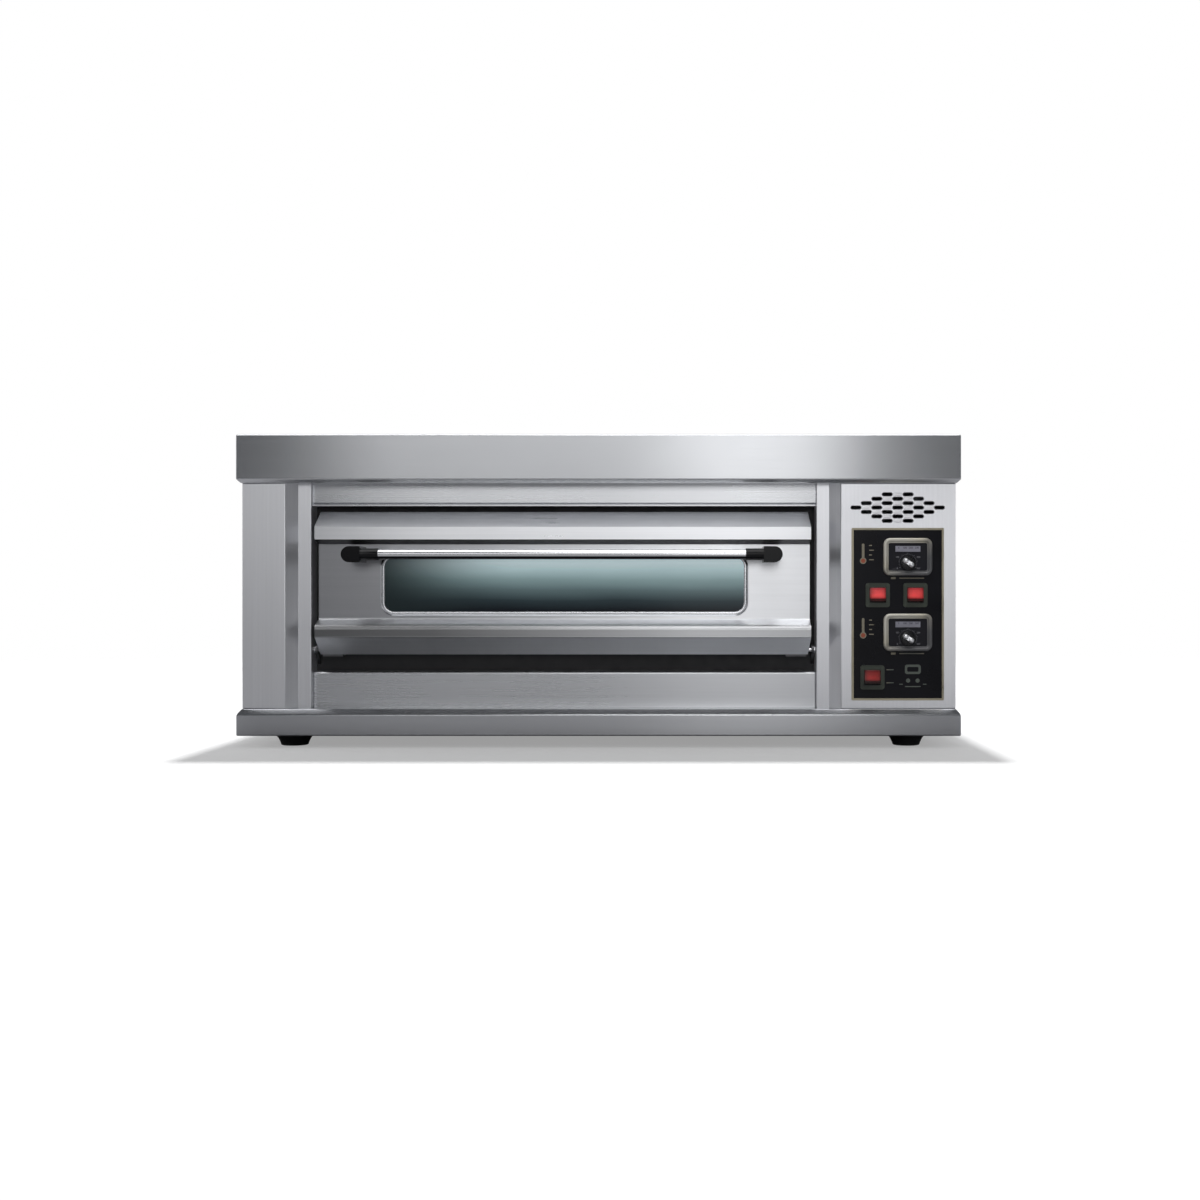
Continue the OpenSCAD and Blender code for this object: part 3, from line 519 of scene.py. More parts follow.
def pane_with_painted_reflection():
    made, tree, shader = fresh("window_glass", Roughness=0.22, Coat_Weight=0.2, Coat_Roughness=0.12,
                               Specular_IOR_Level=0.25, Emission_Strength=0.30)
    part = parts_of(tree)
    # painted reflection by height, painted shade towards the left end, and a painted glow in the same colours
    height = spread(tree, part["Z"], 0.0, 1.0, PANE_LOW.z + 10 * MM, PANE_HIGH.z - 10 * MM)
    painted_reflection_height = node(tree, "ShaderNodeMath", {0: noise(tree, (3.0, 3.0, 12.0)), 1: 0.16, 2: height},
                 operation="MULTIPLY_ADD")
    tone = ramp(tree, painted_reflection_height.outputs[0], (0.10, (0.004, 0.007, 0.011)), (0.28, (0.028, 0.046, 0.054)),
                (0.48, (0.12, 0.178, 0.188)), (0.68, (0.29, 0.42, 0.43)), (0.84, (0.53, 0.71, 0.73)),
                (0.98, (0.76, 0.95, 0.98)))
    lit = spread(tree, part["X"], 0.02, 1.0, PANE_LOW.x - 20 * MM, PANE_LOW.x + 250 * MM,
                 interpolation_type="SMOOTHSTEP")
    tone = node(tree, "ShaderNodeMix", {0: lit, 6: PANE_SHADE, 7: tone}, data_type="RGBA").outputs[2]
    feed(tree, shader, Base_Color=tone, Emission_Color=tone)
    bump(tree, shader, noise(tree, 30.0), 0.01)
    return made


def clear_glass(name, colour, rough):
    made, tree, shader = fresh(name, Transmission_Weight=0.92, IOR=1.47)
    smear = noise(tree, 18.0, 4.0)
    feed(tree, shader, Base_Color=ramp(tree, smear, (0.3, shade(colour, 0.92)), (0.7, colour)),
         Roughness=spread(tree, smear, rough, rough + 0.08))
    return made


window_glass = pane_with_painted_reflection()
inner_glass = clear_glass("inner_glass", (0.72, 0.80, 0.80), 0.02)
lamp_glass = clear_glass("lamp_glass", (0.95, 0.92, 0.84), 0.25)
print("glass from", round(PANE_LOW.z, 3), "to", round(PANE_HIGH.z, 3), "m")

# %% [markdown]
# ## A finish for every piece
# Many pieces already have their true shape: rods, pans, walls, brackets. They keep it and only take a
# finish. The table names the finish of every piece, and a piece that is rebuilt below takes the same one.

# %% Finish of every piece
FINISH = {
    crown_steel: "base_plinth crown_cover",
    body_steel: "left_side_panel right_side_panel left_pillar control_fascia",
    front_steel: "top_fascia kick_panel",
    door_steel: "door_panel",
    # painted shade: the frame seen through the gaps is painted near black
    mouth_black: "front_frame",
    chamber_steel: "deck_plate chamber_base chamber_roof chamber_sides chamber_back chamber_supports "
                   "door_liner",
    galvanised: "back_panel compartment_wall",
    black_rail: "hinge_rail",
    hinge_iron: "hinge_brackets hinge_knuckles",
    bright_steel: "hinge_pins",
    screw_steel: "foot_bolts panel_screws handle_screws",
    foot_rubber: "rubber_feet",
    gasket_fibre: "door_gasket",
    wool: "chamber_insulation door_insulation",
    rod_sheath: "upper_elements lower_elements",
    ceramic: "element_terminals",
    probe_steel: "thermocouples lamp_housing",
    lamp_glass: "lamp_lens",
    duct_steel: "steam_duct",
    gland_plastic: "cable_gland",
    brass_stud: "bonding_stud",
    gear_plastic: "contactors",
    wire_sleeve: "wiring_loom",
    overlay_film: "control_overlay",
    gold_line: "overlay_trim",
    print_ink: "overlay_print",
    controller_black: "controller_bodies",
    bezel_champagne: "controller_bezels",
    scale_grey: "scale_strips",
    switch_black: "switch_housings",
    rocker_lit: "left_rocker",
    rocker_lit_too: "right_rocker",
    rocker_off: "lamp_rocker",
    knob_black: "upper_knob lower_knob",
    grip_bright: "upper_grip lower_grip",
    handle_plastic: "handle_ends",
    handle_chrome: "handle_rod",
    window_trim: "window_bezel",
    window_glass: "outer_glass",
    inner_glass: "inner_glass",
}
FINISH_OF = {name: finish for finish, names in FINISH.items() for name in names.split()}
for name, piece in frame["nodes"].items():
    piece.data.materials.clear()
    piece.data.materials.append(FINISH_OF[name])
BODY_OF = {name: body for body, names in frame["record"]["behaviour"]["bodies"].items() for name in names}

# %% [markdown]
# ## Rounding the folds
# Sheet steel never has a sharp fold: the press brake leaves an outside radius about as large as the sheet
# is thick. A plain sheet is copied, its flat faces are joined, and only its outer folds are rounded. The
# thin cut edges are left crisp. Weighted normals then keep the flats flat, so the light runs in a line
# along each fold.


# %% Showing a piece
def show(name, mesh, finish, body, stands_for=()):
    """Puts a finished mesh on the oven: it rides on a body and may stand for plain pieces."""
    piece = bpy.data.objects.new(name, mesh)
    bpy.context.scene.collection.objects.link(piece)
    mesh.materials.clear()
    mesh.materials.append(finish)
    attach(piece, body)
    if stands_for:
        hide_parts(*stands_for)
    return piece


def even_normals(piece, sharp=40):
    """Smooth shading that leaves flats flat; faces are cut into triangles after their normals are weighed."""
    piece.data.shade_smooth()
    piece.data.set_sharp_from_angle(angle=math.radians(sharp))
    level = piece.modifiers.new("even", "WEIGHTED_NORMAL")
    level.keep_sharp = True
    level.weight = 80
    cut = piece.modifiers.new("cut", "TRIANGULATE")
    cut.min_vertices = 5
    cut.keep_custom_normals = True


# %% Fold rounding
def thin_side(face):
    """Width of a face: its area over its longest side."""
    return face.calc_area() / max(e.calc_length() for e in face.edges)


def rounded(form, edges, width, steps):
    bmesh.ops.bevel(form, geom=edges, offset=width * MM, segments=steps, affect="EDGES", profile=0.5,
                    clamp_overlap=True)


def softened(name, width, steps=3, thinnest=2.0, angle=25, title=None, inside=0.0, roll=None):
    """A copy of a plain piece with its outer folds rounded to width millimetres; roll is (test, radius)."""
    form = bmesh.new()
    form.from_mesh(frame["nodes"][name].data)
    bmesh.ops.remove_doubles(form, verts=form.verts, dist=2e-6)
    bmesh.ops.dissolve_limit(form, angle_limit=math.radians(0.8), verts=form.verts, edges=form.edges)
    if roll:
        rounded(form, [e for e in form.edges if roll[0](e)], roll[1], 8)
    folds, inner = [], []
    for edge in form.edges:
        if len(edge.link_faces) != 2 or edge.calc_face_angle(0) < math.radians(angle):
            continue
        if min(thin_side(f) for f in edge.link_faces) >= thinnest * MM:
            (folds if edge.is_convex else inner).append(edge)
    if inside and inner:
        rounded(form, inner, inside, 2)
        folds = [e for e in folds if e.is_valid]
    if folds:
        rounded(form, folds, width, steps)
    title = title or name + "_folded"
    mesh = bpy.data.meshes.new(title)
    form.to_mesh(mesh)
    form.free()
    even_normals(show(title, mesh, FINISH_OF[name], BODY_OF[name], [name]))
    print(f"{title}: {len(folds)} folds rounded to {width} mm, {len(mesh.polygons)} faces")


# %% [markdown]
# ## The cabinet's sheets
# The crown, the base tray, the two pillars, the panels over and under the door and the black rail are all
# plain folded sheet, so they only need their folds rounded. The crown and the base are the largest folds on
# the oven and take the widest radius.

# %% Cabinet sheets
CABINET_FOLDS = {"crown_cover": 2.2, "base_plinth": 2.2, "left_pillar": 1.8, "control_fascia": 1.8,
                 "top_fascia": 1.4, "kick_panel": 1.4, "hinge_rail": 1.6, "front_frame": 0.6}
for name, radius in CABINET_FOLDS.items():
    softened(name, radius, inside=0.5 if radius > 1 else 0)

# %% [markdown]
# ## The door skin and its band folds
# The door is one sheet folded to two proud bands with a recessed middle, and its ends are closed by mitred
# returns. Its folds catch the brightest lines of the whole front, so they get more steps than the
# cabinet's. The fold on top of the lower band is a wide roll, which carries the widest bright line on the
# door.

# %% Door skin
ROLL_Y, ROLL_Z, ROLL_RADIUS = -383.0, 205.0, 6.5


def is_roll(edge):
    return all(abs(v.co.y / MM - ROLL_Y) < 0.5 and abs(v.co.z / MM - ROLL_Z) < 0.6 for v in edge.verts)


softened("door_panel", 1.8, steps=4, inside=0.8, angle=12, roll=(is_roll, ROLL_RADIUS))
softened("door_liner", 1.2, inside=0.5)
for name in ("outer_glass", "inner_glass"):
    softened(name, 0.8, steps=2, thinnest=1.0)

# %% [markdown]
# ## Drawing with profiles
# Many parts are one small profile carried round a path: the window rim, the rope seal, the controller
# frames. Others are a profile turned round an axle: feet, knobs, screws, the stud. Both make rings of
# points, and a skin of faces from each ring to the next.


# %% Profile helpers
def box_mm(name):
    """Lowest and highest corner of a plain piece, in millimetres."""
    low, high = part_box(name)
    return low / MM, high / MM


def circle(count):
    """Angles once round a circle."""
    return [2 * math.pi * k / count for k in range(count)]


def quarter(steps):
    """Angles from 0 to 90 degrees."""
    return [math.pi / 2 * k / steps for k in range(steps + 1)]


def ring_of(form, points):
    return [form.verts.new(Vector(point) * MM) for point in points]


def skin(form, rings, closed=False, around=True):
    """Faces from each ring to the next; closed joins the last to the first, around closes each ring."""
    for first, second in zip(rings, rings[1:] + rings[:1] if closed else rings[1:]):
        for k in range(len(first) if around else len(first) - 1):
            j = (k + 1) % len(first)
            form.faces.new((first[k], first[j], second[j], second[k]))


def finish_mesh(form, name):
    bmesh.ops.recalc_face_normals(form, faces=form.faces)
    mesh = bpy.data.meshes.new(name)
    form.to_mesh(mesh)
    form.free()
    return mesh


def piece_of(form, title, *nodes, sharp=35):
    """Shows a mesh that stands for plain pieces and takes the first one's finish and body."""
    name = nodes[0]
    piece = show(title, finish_mesh(form, title), FINISH_OF[name], BODY_OF[name], nodes)
    even_normals(piece, sharp)
    print(f"{title}: {len(piece.data.polygons)} faces")


# %% Carried and turned profiles
def soft_corners(low, high, inset, r, steps=8):
    """Points and outward directions round a rectangle with round corners, seen from the front."""
    x0, z0, x1, z1 = low.x + inset + r, low.z + inset + r, high.x - inset - r, high.z - inset - r
    path = []
    for corner, (x, z) in enumerate(((x1, z1), (x0, z1), (x0, z0), (x1, z0))):
        for k in range(steps + 1):
            a = math.radians(90 * (corner + k / steps))
            path.append((x + r * math.cos(a), z + r * math.sin(a), math.cos(a), math.sin(a)))
    return path


def carried_round(form, path, profile):
    """Carries a closed profile of (outward, depth) millimetres round a closed path; depth is along +Y."""
    rings = [ring_of(form, [(x + ox * u, y, z + oz * u) for u, y in profile]) for x, z, ox, oz in path]
    skin(form, rings, closed=True)


def turned(form, centre, axis, profile, around=32, wave=None, start=0.0):
    """Turns a profile of (radius, height) millimetres round an axis through centre, closed at both ends."""
    axis = Vector(axis)
    side = Matrix.Rotation(start, 3, axis) @ axis.orthogonal().normalized()
    other = axis.cross(side)
    rings = []
    for r, h in profile:
        ring = []
        for a in circle(around):
            reach = r * (wave(a, h) if wave else 1.0)
            ring.append(Vector(centre) + side * math.cos(a) * reach + other * math.sin(a) * reach + axis * h)
        rings.append(ring_of(form, ring))
    skin(form, rings)
    form.faces.new(rings[0])
    form.faces.new(rings[-1])


# %% [markdown]
# ## Window rim
# A bright formed rim covers the cut edge of the window in the door skin. It is a flattened half round with
# a rolled lip that drops onto the glass.

# %% Window rim
RIM_WIDTH = 8
RIM_PROFILE = [(0.0, -350.0), (0.3, -352.2), (1.6, -353.0), (4.4, -353.0), (6.6, -352.3), (8.0, -350.2),
               (8.0, -350.0), (0.0, -348.6)]
rim = bmesh.new()
carried_round(rim, soft_corners(*box_mm("window_bezel"), RIM_WIDTH, 16, 10), RIM_PROFILE)
piece_of(rim, "window_rim", "window_bezel", sharp=60)

# %% [markdown]
# ## Rope seal
# The door shuts on a braided glass rope, held in a track on the liner. It is an oval carried round the
# mouth of the chamber, with slightly uneven thickness so that it doesn't look extruded. The path is first
# cut into short steps, because the thickness can only change where there is a ring.

# %% Rope seal
ROPE_STEP = 6
ROPE_HALF = 3.5
low, high = box_mm("door_gasket")
oval = [(ROPE_HALF + 3.4 * math.cos(a), 1.72 * math.sin(a)) for a in circle(12)]
corners = soft_corners(low, high, 2 * ROPE_HALF, 5, 5)
path = []
for here, there in zip(corners, corners[1:] + corners[:1]):
    count = max(1, round(math.dist(here[:2], there[:2]) / ROPE_STEP))
    path += [tuple(a + (b - a) * k / count for a, b in zip(here, there)) for k in range(count)]
seal = bmesh.new()
seal_y = (low.y + high.y) / 2
rings = []
random.seed(4)
for k, (x, z, ox, oz) in enumerate(path):
    swell = 0.95 + 0.05 * math.sin(k * 1.9) * random.random()
    thick = [(ROPE_HALF + (u - ROPE_HALF) * swell, v * swell) for u, v in oval]
    rings.append(ring_of(seal, [(x + ox * u, seal_y + v, z + oz * u) for u, v in thick]))
skin(seal, rings, closed=True)
piece_of(seal, "rope_seal", "door_gasket", sharp=80)

# %% [markdown]
# ## Handle
# A polished bar runs between two black moulded blocks. The blocks are soft all over, as hard plastic
# handles are, and each has a collar that the bar slides into. The bar has a faint step where its end caps
# press in.

# %% Handle
softened("handle_ends", 2.6, steps=4, thinnest=0.4, angle=28, title="handle_blocks")
low, high = box_mm("handle_rod")
bar = bmesh.new()
one_end = [(8.0, 0.0), (8.5, 0.6), (8.5, 22.0), (8.3, 22.3), (8.3, 22.9), (8.5, 23.2)]
other_end = [(r, high.x - low.x - h) for r, h in reversed(one_end)]
turned(bar, (low.x, (low.y + high.y) / 2, (low.z + high.z) / 2), (1, 0, 0), one_end + other_end, 48)
piece_of(bar, "handle_bar", "handle_rod")

# %% [markdown]
# ## Screw heads
# Pan heads with a cross recess hold the back and the sides. The recess is a four-pointed ring sunk into a
# low dome, so it is real geometry and still cheap. Each screw stopped at its own angle when it was driven
# home.


# %% Screw heads
HEAD = [(1.0, 0.0), (1.0, 0.35), (0.86, 0.72), (0.62, 0.95), (0.56, 1.0)]
RECESS = [(0.5, 1.001), (0.42, 0.55)]


def cross(a, h):
    """Reach of a four-pointed star with sixteen corners."""
    return 1.0 if round(a / (math.pi / 8)) % 4 == 0 else 0.42


def pan_head(form, centre, axis, spin, r=4.4, height=2.3):
    """One pan-head screw whose underside sits at centre and whose head points along axis."""
    turned(form, centre, axis, [(r * u, height * v) for u, v in HEAD], 16, start=spin)
    turned(form, centre, axis, [(r * u, height * v) for u, v in RECESS], 16, cross, spin)


def screws(title, places, axis, stands_for=()):
    heads = bmesh.new()
    random.seed(len(places))
    for place in places:
        pan_head(heads, place, axis, random.random() * 1.5)
    even_normals(show(title, finish_mesh(heads, title), screw_steel, "oven", stands_for))
    print(f"{title}: {len(places)} screws")


REAR = box_mm("back_panel")[1].y
SIDE = box_mm("right_side_panel")[1].x
back_places = [(x, REAR, z) for x in (-560, -300, 0, 300, 585) for z in (77, 434)]
back_places += [(x, REAR, z) for x in (-590, 590) for z in (190, 320)]
screws("back_screws", back_places, (0, 1, 0), ["panel_screws"])
for side, title in ((-1, "left_side_screws"), (1, "right_side_screws")):
    places = [(side * SIDE, y, z) for y in (-365, 0, 372) for z in (80, 431)]
    places += [(side * SIDE, y, 255) for y in (-365, 372)]
    screws(title, places, (side, 0, 0))

# %% [markdown]
# ## Louvres
# Hot air from the control compartment leaves through louvres: slots whose upper lip is pressed outwards
# into a small hood. Each hood is a quarter dome drawn out to the length of its slot and open at the bottom.


# %% Louvres
def louvre(form, place, along, out, length, height=6.2, depth=4.2, steps=6, cells=14):
    """A pressed hood over a slot: along is the slot's direction, out points away from the panel."""
    rows = []
    for i in range(cells + 1):
        t = -1 + 2 * i / cells
        swell = math.sqrt(max(0.0, 1 - abs(t) ** 5))
        middle = Vector(place) + Vector(along) * (t * length / 2) + Vector(out) * 0.05
        up = Vector((0, 0, height * swell))
        away = Vector(out) * (depth * swell)
        rows.append(ring_of(form, [middle + up * math.cos(a) + away * math.sin(a) for a in quarter(steps)]))
    skin(form, rows, around=False)


def louvres(title, places, along, out, length, finish):
    hoods = bmesh.new()
    for place in places:
        louvre(hoods, place, along, out, length)
    piece = show(title, finish_mesh(hoods, title), finish, "oven")
    thick = piece.modifiers.new("thickness", "SOLIDIFY")
    thick.thickness = 0.7 * MM
    thick.offset = -1.0
    even_normals(piece, 60)
    print(f"{title}: {len(places)} hoods")


louvres("side_louvres", [(SIDE, y, 119.4 + 14 * i) for y in (120, 230, 340) for i in range(10)],
        (0, 1, 0), (1, 0, 0), 84, body_steel)
louvres("back_louvres", [(x, REAR, 219.4 + 14 * i) for x in (440, 532) for i in range(10)],
        (1, 0, 0), (0, 1, 0), 78, galvanised)

# %% [markdown]
# ## Controller frames
# Each temperature controller sits behind a rounded champagne frame with a sunk inner lip. The frame's
# profile slopes to the inside, so its top and left edges light up differently from the others. The
# controller's own face and the switch housings keep their plain shape with soft corners.

# %% Controller frames
FRAME_PROFILE = [(0.0, -381.0), (8.3, -381.0), (8.3, -386.4), (7.9, -388.0), (6.9, -388.8), (5.4, -389.0),
                 (3.6, -388.9), (2.6, -388.2), (1.9, -386.6), (0.0, -386.2)]
FRAME_HALF = Vector((32.7, 0, 23.5))
frames = bmesh.new()
for z in DIALS:
    middle = Vector((DIAL_X, 0, z))
    carried_round(frames, soft_corners(middle - FRAME_HALF, middle + FRAME_HALF, 0, 3.0), FRAME_PROFILE)
piece_of(frames, "controller_frames", "controller_bezels", sharp=50)
softened("controller_bodies", 0.8, steps=2, thinnest=0.6)
softened("switch_housings", 1.3, thinnest=0.8)

# %% [markdown]
# ## Marks and numbers on the dials
# Screen-printed ink stands a tenth of a millimetre or so above the face. A bar of ink is four corners
# lifted off the face, and plain figures are cut from a font and turned to face the front, so both survive
# as real shape.

# %% Dial marks
MARK_Y = box_mm("controller_bodies")[0].y
HUB_DROP = 10
marks = bmesh.new()


def mark(x, z, width, height, turn, y=MARK_Y, lift=0.16):
    """A thin raised bar of ink: centre, size and turn in the plane of the front."""
    c, s = math.cos(turn), math.sin(turn)
    corners = [(u * width / 2, v * height / 2) for u, v in ((-1, -1), (1, -1), (1, 1), (-1, 1))]
    low, high = (ring_of(marks, [(x + u * c - v * s, depth, z + u * s + v * c) for u, v in corners])
                 for depth in (y, y - lift))
    marks.faces.new(high)
    skin(marks, [low, high])


for z in DIALS:
    for k in range(25):
        a = math.radians(-30 + 10 * k)
        reach, length = (14.7, 1.4) if k % 4 else (15.4, 2.6)
        mark(DIAL_X + reach * math.cos(a), z - HUB_DROP + reach * math.sin(a), length, 0.45, a)
    for k in range(21):
        rise, length = (10.6, 2.0) if k % 5 else (11.2, 3.2)
        mark(DIAL_X - 19 + 1.9 * k, z + rise, 0.4, length, 0, MARK_Y - 0.2, 0.12)
show("dial_marks", finish_mesh(marks, "dial_marks"), mark_white, "oven")
print("dial marks on", len(DIALS), "controllers")


# %% Dial numbers
def numbers(title, wording, size, finish):
    """Plain figures as thin raised ink; wording lists (text, x, y, z)."""
    sheet = bmesh.new()
    for text, *place in wording:
        figure = bpy.data.curves.new(title, "FONT")
        figure.body = text
        figure.size = size * MM
        figure.align_x = "CENTER"
        figure.align_y = "CENTER"
        figure.extrude = 0.07 * MM
        figure.resolution_u = 3
        holder = bpy.data.objects.new(title, figure)
        bpy.context.scene.collection.objects.link(holder)
        bpy.context.view_layer.update()
        flat = holder.to_mesh()
        flat.transform(Matrix.Translation(Vector(place) * MM) @ Matrix.Rotation(math.radians(90), 4, "X"))
        sheet.from_mesh(flat)
        holder.to_mesh_clear()
        bpy.data.objects.remove(holder)
        bpy.data.curves.remove(figure)
    show(title, finish_mesh(sheet, title), finish, "oven")
    print(f"{title}: {len(wording)} figures")


SCALE = {"0": 210, "100": 150, "200": 30, "300": -30}
figures = []
for z in DIALS:
    for text, degrees in SCALE.items():
        a = math.radians(degrees)
        figures.append((text, DIAL_X + 20.5 * math.cos(a), MARK_Y - 0.08, z - HUB_DROP + 19 * math.sin(a)))
numbers("dial_numbers", figures, 4.0, mark_white)
strip_figures = [(text, DIAL_X - 15.5 + 10.2 * k, MARK_Y - 0.28, z + 15.2)
                 for z in DIALS for k, text in enumerate(SCALE)]
numbers("strip_numbers", strip_figures, 4.6, mark_black)

# %% [markdown]
# ## Knobs
# The knob is a black disc with a fluted edge and a step; across it lies a bright grip of two rounded lobes
# with a groove between them, which is what shows from a distance. Disc and grip turn together on the
# spindle.


# %% Knob discs
DISC_PROFILE = [(12.0, 0.0), (12.5, 0.4), (12.5, 1.2), (12.4, 2.2), (11.9, 2.8), (10.9, 3.0), (10.5, 3.1),
                (10.4, 5.2), (10.0, 5.8), (9.0, 6.0), (3.0, 6.0)]


def flutes(a, h):
    return 1.0 - 0.035 * (0.5 + 0.5 * math.cos(24 * a)) if h > 0.6 else 1.0


for z, which in zip(DIALS, ("upper", "lower")):
    disc = bmesh.new()
    turned(disc, (DIAL_X, MARK_Y - 0.5, z - HUB_DROP), (0, -1, 0), DISC_PROFILE, 96, flutes)
    turned(disc, (DIAL_X, MARK_Y - 0.4, z - HUB_DROP), (0, 1, 0), [(3.0, 0.0), (3.0, 18.0), (2.6, 18.4)], 24)
    piece_of(disc, which + "_knob_disc", which + "_knob")

# %% Knob grips
GRIP_FOOT = MARK_Y - 6.4
LOBE_X, LOBE_HALF_X, LOBE_HALF_Z, LOBE_RISE = 5.35, 5.25, 4.6, 8.0
BRIDGE = [(-4, -3.4), (4, -3.4), (4, 3.4), (-4, 3.4)]
LEAN = Matrix.Rotation(math.radians(34), 3, "Y")


def squarish(value, power):
    """A cosine or sine made fuller, which turns a circle into a rounded square."""
    return math.copysign(abs(value) ** power, value)


def grip_ring(form, hub, points, rise):
    return ring_of(form, [hub + LEAN @ Vector((u, 0, v)) - Vector((0, rise, 0)) for u, v in points])


for z, which in zip(DIALS, ("upper", "lower")):
    form = bmesh.new()
    hub = Vector((DIAL_X, GRIP_FOOT, z - HUB_DROP))
    for side in (-1, 1):
        rings = []
        for a in quarter(8):
            wide, tall = LOBE_HALF_X * math.cos(a) ** 0.7, LOBE_HALF_Z * math.cos(a) ** 0.7
            outline = [(side * LOBE_X + wide * squarish(math.cos(b), 0.8), tall * squarish(math.sin(b), 0.85))
                       for b in circle(32)]
            rings.append(grip_ring(form, hub, outline, LOBE_RISE * math.sin(a)))
        skin(form, rings)
        form.faces.new(rings[0])
    bridge = [grip_ring(form, hub, BRIDGE, rise) for rise in (0.0, 4.8)]
    form.faces.new(bridge[1])
    skin(form, bridge)
    bmesh.ops.remove_doubles(form, verts=form.verts, dist=1e-7)
    piece_of(form, which + "_knob_grip", which + "_grip", sharp=50)

# %% [markdown]
# ## Rockers, film and duct
# A rocker is a red lens that tips on its middle. The plain solid already has the right tilt, so its edges
# are only rounded. The film over the controls and the steam duct get the same, with the small radius of a
# cut edge.

# %% Rockers, film and duct
for name in ("left_rocker", "right_rocker", "lamp_rocker"):
    softened(name, 0.9, thinnest=0.5, angle=20)
softened("control_overlay", 0.25, steps=2, thinnest=0.8)
softened("steam_duct", 0.5, steps=2, thinnest=1.0)

# %% [markdown]
# ## Feet
# The rubber feet widen upwards from a rounded foot to a moulded ring, and they are faintly ribbed to take
# the hand that screws them in.

# %% Feet
FOOT_PROFILE = [(20.5, 0.0), (22.4, 0.6), (23.2, 2.0), (24.4, 5.5), (26.0, 9.0), (27.6, 12.0), (29.0, 14.2),
                (30.6, 15.6), (31.0, 17.0), (31.0, 19.0), (30.4, 19.9)]


def foot_ribs(a, h):
    return 1.0 - 0.012 * (0.5 + 0.5 * math.cos(24 * a)) * (3 < h < 13)


FOOT_X, FOOT_Y = 525, 335
feet = bmesh.new()
for x in (-FOOT_X, FOOT_X):
    for y in (-FOOT_Y, FOOT_Y):
        turned(feet, (x, y, 0), (0, 0, 1), FOOT_PROFILE, 48, foot_ribs)
piece_of(feet, "foot_pads", "rubber_feet", sharp=50)

# %% [markdown]
# ## Cable gland and earth stud
# Both stand on the back. The cable gland has a ribbed dome nut on a hexagon and a second hexagon inside the
# panel. The earth stud carries a thread, a washer and two nuts.

# %% Cable gland
FITTING_Z = 112.0
GLAND_X, STUD_X = 520.0, 570.0


def hexed(a, h):
    """Reach of a hexagon with slightly rounded corners."""
    b = (a + math.pi / 6) % (math.pi / 3) - math.pi / 6
    return min(1.0, 0.8865 / math.cos(b))


def gland_ribs(a, h):
    return 1.0 - 0.035 * (math.cos(18 * a) > 0.2) * (7 < h < 18.5)


def on_back(form, x, out, profile, around, wave=None):
    """A turned fitting on the back panel; out is how far from the panel its profile starts."""
    turned(form, (x, REAR + out, FITTING_Z), (0, 1, 0), profile, around, wave)


gland = bmesh.new()
on_back(gland, GLAND_X, -12, [(10.0, 0.0), (10.4, 0.4), (10.4, 12.1)], 32)
on_back(gland, GLAND_X, 0, [(14.6, 0.0), (16.0, 0.6), (16.0, 6.2), (14.8, 7.0)], 48, hexed)
on_back(gland, GLAND_X, -6.5, [(14.2, 0.0), (15.0, 0.5), (15.0, 4.5), (14.2, 5.0)], 48, hexed)
on_back(gland, GLAND_X, 0, [(13.0, 6.0), (13.2, 8.0), (13.2, 16.5), (12.4, 19.5), (10.6, 21.6), (8.0, 22.5),
                            (6.2, 22.5), (6.0, 22.0), (6.0, 8.0)], 72, gland_ribs)
piece_of(gland, "ribbed_gland", "cable_gland", sharp=40)

# %% Earth stud
THREAD_PITCH = 0.78
thread = [(3.6, -12.0)]
for k in range(40):
    thread += [(4.0, -11.6 + THREAD_PITCH * k), (3.55, -11.2 + THREAD_PITCH * k)]
thread += [(4.0, 19.5), (3.4, 20.0)]
stud = bmesh.new()
on_back(stud, STUD_X, 0, thread, 24)
on_back(stud, STUD_X, -4, [(7.8, 0.0), (8.0, 0.2), (8.0, 2.3), (7.8, 2.5)], 32)
on_back(stud, STUD_X, 0, [(7.3, 0.0), (7.5, 0.15), (7.5, 1.0), (7.3, 1.1)], 40)
on_back(stud, STUD_X, 1.1, [(6.9, 0.0), (7.4, 0.3), (7.4, 3.6), (6.9, 3.9)], 48, hexed)
piece_of(stud, "earth_stud", "bonding_stud", sharp=40)

# %% [markdown]
# ## The chamber's lamp
# With the door open one sees the lamp in its corner, behind a domed and ribbed lens. The dome is an arc
# turned round the lamp's axis, with eighteen shallow ribs.


# %% Lamp lens
def lens_ribs(a, h):
    return 1.0 - 0.03 * (0.5 + 0.5 * math.cos(18 * a))


low, high = box_mm("lamp_lens")
radius, depth = (high.x - low.x) / 2, high.y - low.y
dome = bmesh.new()
turned(dome, ((low.x + high.x) / 2, high.y, (low.z + high.z) / 2), (0, -1, 0),
       [(radius * math.cos(math.radians(4 + 8 * k)) ** 0.8, depth * math.sin(math.radians(8 * k)))
        for k in range(11)], 72, lens_ribs)
piece_of(dome, "lamp_dome", "lamp_lens", sharp=60)

# %% [markdown]
# ## Vent over the controls
# The vent is a diamond of slots. Between the slots of a row the metal is pressed out into small bright lens
# shapes, which are what one notices from the front; their steel is painted lighter than the fascia's, a
# painted highlight. Each slot has a thin rim painted dark, a painted shade. The lands are low domes, and the
# rims are thin steps carried round the slot's outline.

# %% Vent lands
SLOT_ROWS = [2, 3, 4, 5, 4, 3, 2]
SLOT_PITCH_X, SLOT_PITCH_Z = 35.3, 7.45
VENT_X, VENT_Z = 505, 405
LAND_HALF_X, LAND_HALF_Z, LAND_RISE = 7.4, 3.1, 0.4
FACE = box_mm("control_fascia")[0].y


